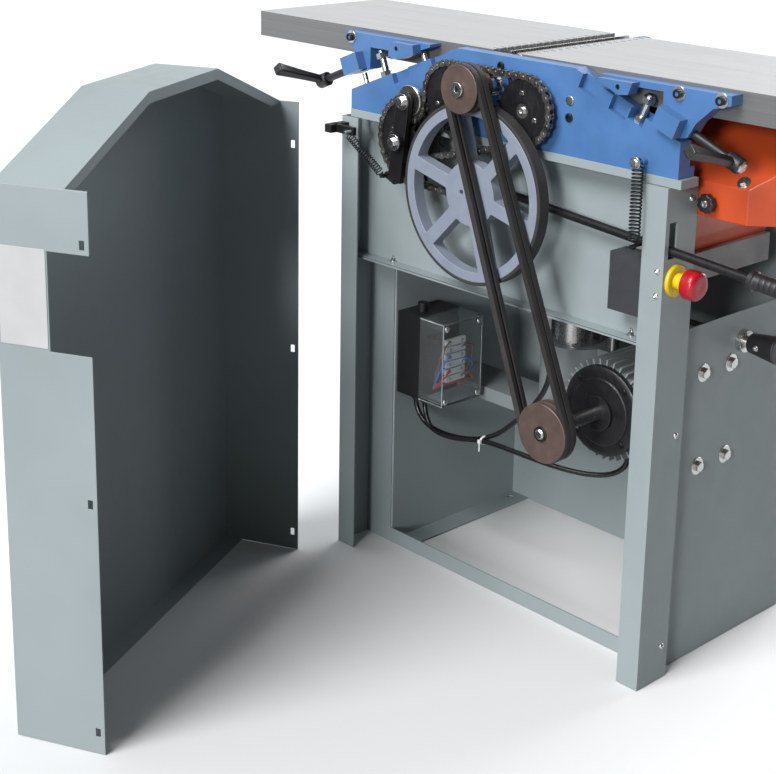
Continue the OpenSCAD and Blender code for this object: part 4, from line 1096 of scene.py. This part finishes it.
def sheet_screws():
    """Screws and bolts of the columns, the shelf, the casting and the right panel."""
    bm = bmesh.new()
    for z in (50, 364, 692):
        pan_screw(bm, (COLUMN_SIDE, -160, z), X)
        pan_screw(bm, (-COLUMN_SIDE, -170, z), -X)
    for z in (568, 601):
        pan_screw(bm, (301, COLUMN_FRONT, z), -Y, 4.2)
    for x in (-230, -20, 236):
        spot = (x, -172, SHELF_TOP)
        hex_bolt(bm, spot, Z, 5, 4.5, 7.5)
        turned(bm, [(4, 0), (4, 2.6), (9, 2.6), (9.6, 2), (9.6, 0)], spot, Z, 16)
    turned(bm, [(0, 0), (0, 6.5), (1.6, 6.5), (2, 6), (2, 0)], (138, CASTING_FRONT, 799), -Y, 28)
    hex_bolt(bm, (SPRING_X, CASTING_FRONT - 21.5, SPRING_TOP), -Y, 5, 4, 8)
    for y in (-86, -22):
        for z in (432, 295):
            hex_bolt(bm, (PANEL_SIDE, y, z), X, 8, 7, 13)
    piece("sheet_screws", bm, "bright_steel", "machine", "frame_screws")


def casting_plugs():
    bm = bmesh.new()
    for x, z in ((138, 776), (12, 829)):
        socket_screw(bm, (x, CASTING_FRONT + 0.5, z), -Y, 6, 3.4)
    piece("casting_plugs", bm, "black_steel", "machine")


def bracket_screws(side, places, stop):
    """Black screws of a table's bracket on bright washers, and the screw of its stop."""
    body = side + "_planer_table"
    bm = bmesh.new()
    for x in places:
        socket_screw(bm, (x, BRACKET_FRONT - 1, BRACKET_SCREW_Z), -Y, 6, 6)
    socket_screw(bm, at_depth(stop, BLOCK_FRONT + 2.5), -Y, 3.4, 2)
    piece(side + "_bracket_screws", bm, "black_steel", body)
    bm = bmesh.new()
    washer = [(-0.5, 5.8), (-0.5, 9.5), (1, 9.5), (1.4, 9.1), (1.4, 5.8)]
    for x in places:
        hollow(bm, washer, (x, BRACKET_FRONT, BRACKET_SCREW_Z), -Y, 32)
    piece(side + "_bracket_washers", bm, "bright_steel", body)


SHELF_HOLE = (268, -182)


def shelf():
    """Thin shelf with a narrow rolled front edge and a hole for the cable."""
    low, high = node_box("shelf_angle")
    bm = bmesh.new()
    outline = [(low.x, low.y), (high.x, low.y), (high.x, high.y), (low.x, high.y)]
    plate(bm, [outline, circle(7, SHELF_HOLE)], (0, 0, high.z - 1), Z, 2, 0.3, across=X)
    block(bm, (low.x, low.y, high.z - 5), (high.x, low.y + 2, high.z - 0.5))
    piece("shelf", bm, "grey_paint", "machine", "shelf_angle", bevel=0.3)


SPRING_BAR = [((-308, -248, 691), (-294, -212, 703)), ((-308, -237, 691), (-256, -231, 703))]
COAT = Vector((0.3, 0.3, 0.3))


def spring_bar():
    """Black coat on the bar that holds the tensioner's spring."""
    bm = bmesh.new()
    for low, high in SPRING_BAR:
        block(bm, Vector(low) - COAT, Vector(high) + COAT)
    piece("spring_bar", bm, "black_steel", "machine", bevel=0.6)


KNOB_R, LOBE_RISE, LOBES = 12.2, 0.9, 9
KNOB_STEPS = 108
HOOD_BOLT_AT = (372, -138, 720)
HOOD_BOLT_OUT = Vector((0, -0.67, 0.74))


def hood_fittings():
    """Lobed knob with its cap screw, and a bright bolt on the fold."""
    angles = [math.tau * k / KNOB_STEPS for k in range(KNOB_STEPS)]
    lobes = [polar(KNOB_R + LOBE_RISE * math.cos(LOBES * a), a) for a in angles]
    low, high = node_box("hood_knob")
    middle = (low + high) / 2
    bm = bmesh.new()
    plate(bm, [lobes], (middle.x, low.y + 5, middle.z), -Y, 10, 2, across=X)
    turned(bm, [(0, 0), (0, 8), (5, 8), (5, 0)], (middle.x, high.y, middle.z), -Y, 28)
    piece("hood_grip", bm, "black_plastic", "hood", "hood_knob")
    bm = bmesh.new()
    socket_screw(bm, (middle.x, low.y + 0.5, middle.z), -Y, 5, 2.4)
    hex_bolt(bm, HOOD_BOLT_AT, HOOD_BOLT_OUT, 6.5, 5, 9)
    piece("hood_bolts", bm, "bright_steel", "hood")


# All pieces

belts()
pulley("cutter_grooves", CUTTER_PULLEY_R, CUTTER, "brown_pulley", "cutter", "cutter_pulley")
pulley("motor_grooves", MOTOR_PULLEY_R, MOTOR, "motor_pulley", "motor_rotor", "motor_pulley")
shaft_end("cutter_shaft_end", CUTTER, "cutter", None)
shaft_end("motor_shaft_end", MOTOR, "motor_rotor", 7)
feed_wheel()
chain("feed_links", FEED_WHEELS, FEED_Y, "feed_chain")
chain("reduction_links", REDUCTION_WHEELS, REDUCTION_Y, "reduction_chain")
feed_sprocket("infeed_disc", INFEED, "infeed", "infeed_sprocket")
feed_sprocket("outfeed_disc", OUTFEED, "outfeed", "outfeed_sprocket")
intermediate()
tensioner()
spring("lever_coil", (SPRING_X, -221, 629.6), (SPRING_X, -221, SPRING_TOP), 7, 4.5, 1.2, 20,
       "lever_spring")
spring("tension_coil", at_depth(ARM_PEG, -245), (-262, -245, 697), 5.5, 4, 0.9, 18,
       "tension_spring")
clamp_lever("left_clamp_handle", (-300, -193, 785), -1, "left_clamp", "left_clamp_lever")
clamp_lever("right_clamp_handle", (320, -193, 787), 1, "right_clamp", "right_clamp_lever")
lever_grip()
crank()
stop_button()
motor()
electrical_details()
sheet_screws()
casting_plugs()
bracket_screws("left", [-298], (-184, 830))
bracket_screws("right", [312, 376], (227, 831))
shelf()
spring_bar()
hood_fittings()

# Solids kept from the model: each gets its slot's look, or its own, and softened edges

NODE_LOOKS = {"lift_sleeve": "motor_grey"}
EDGE = {"blue_paint": 1.6, "cast_table": 0.8, "orange_paint": 1.0, "black_plastic": 1.2, "grey_plastic": 1.0}
OTHER_EDGE = 0.5
WELD_GAP = 1e-6
record_slots = {row["node"]: row["material_slot"] for row in frame["record"]["subparts"]}
for name, node in frame["nodes"].items():
    if node.hide_render:
        continue
    slot = record_slots[name]
    for holder in node.material_slots:
        holder.link = "OBJECT"
        holder.material = LOOKS[NODE_LOOKS.get(name, slot)]
    weld = node.modifiers.new("weld", "WELD")
    weld.merge_threshold = WELD_GAP
    soften(node, EDGE.get(slot, OTHER_EDGE))

# Floor and light

FLOOR_HALF = 40
FLOOR_Z = -0.0005
FLOOR_SHOWN = (212, 213, 214)
FLOOR_BOUNCE = (118, 119, 120)


def floor():
    """Pale floor with the object's shadow, which throws less light back than it shows."""
    bm = bmesh.new()
    bmesh.ops.create_grid(bm, x_segments=1, y_segments=1, size=FLOOR_HALF)
    mesh = bpy.data.meshes.new("floor")
    bm.to_mesh(mesh)
    bm.free()
    made = bpy.data.objects.new("floor", mesh)
    made.location.z = FLOOR_Z
    bpy.context.scene.collection.objects.link(made)
    look = Look("floor", 0.9)
    ray = look.node("ShaderNodeLightPath")
    mirrored = look.node("ShaderNodeMath", operation="MAXIMUM")
    shown = look.node("ShaderNodeMath", operation="MAXIMUM")
    look.link(ray.outputs["Is Glossy Ray"], mirrored.inputs[0])
    look.link(ray.outputs["Is Transmission Ray"], mirrored.inputs[1])
    look.link(ray.outputs["Is Camera Ray"], shown.inputs[0])
    look.link(mirrored.outputs["Value"], shown.inputs[1])
    tones = [(0, linear(FLOOR_BOUNCE)), (1, linear(FLOOR_SHOWN))]
    look.link(look.ramp(shown.outputs["Value"], tones), look.shader.inputs["Base Color"])
    mesh.materials.append(look.material)


def sun(name, from_angle, height, power, spread):
    """A wide soft light from a compass angle (0 is the drive side, positive to the right) and a height."""
    data = bpy.data.lights.new(name, "SUN")
    data.energy = power
    data.angle = math.radians(spread)
    a, e = math.radians(from_angle), math.radians(height)
    out = Vector((math.sin(a) * math.cos(e), -math.cos(a) * math.cos(e), math.sin(e)))
    made = bpy.data.objects.new(name, data)
    made.rotation_euler = out.to_track_quat("Z", "Y").to_euler()
    bpy.context.scene.collection.objects.link(made)


SUNS = [("key", -1, 46, 3.7, 30), ("low_front", 20, 14, 1.8, 12), ("fill", 186, 20, 2.6, 40)]
ROOM_BRIGHT_SIDE = (-0.97, 0.0, 0.25)
ROOM_COLOR = (0.95, 0.98, 1, 1)
ROOM_RANGE = {"From Min": -0.1, "From Max": 0.7, "To Min": 0.1, "To Max": 0.9}


def light():
    """Studio light: three suns, and a room that is bright on the left and dark on the right."""
    world = bpy.data.worlds.new("studio")
    world.use_nodes = True
    tree = world.node_tree
    place = tree.nodes.new("ShaderNodeTexCoord")
    toward = tree.nodes.new("ShaderNodeVectorMath")
    toward.operation = "DOT_PRODUCT"
    toward.inputs[1].default_value = ROOM_BRIGHT_SIDE
    shade = tree.nodes.new("ShaderNodeMapRange")
    set_inputs(shade, ROOM_RANGE)
    sky = tree.nodes["Background"]
    set_inputs(sky, {"Color": ROOM_COLOR})
    tree.links.new(place.outputs["Generated"], toward.inputs[0])
    tree.links.new(toward.outputs["Value"], shade.inputs["Value"])
    tree.links.new(shade.outputs["Result"], sky.inputs["Strength"])
    bpy.context.scene.world = world
    for setting in SUNS:
        sun(*setting)
    bpy.context.scene.view_settings.view_transform = "Standard"


floor()
light()
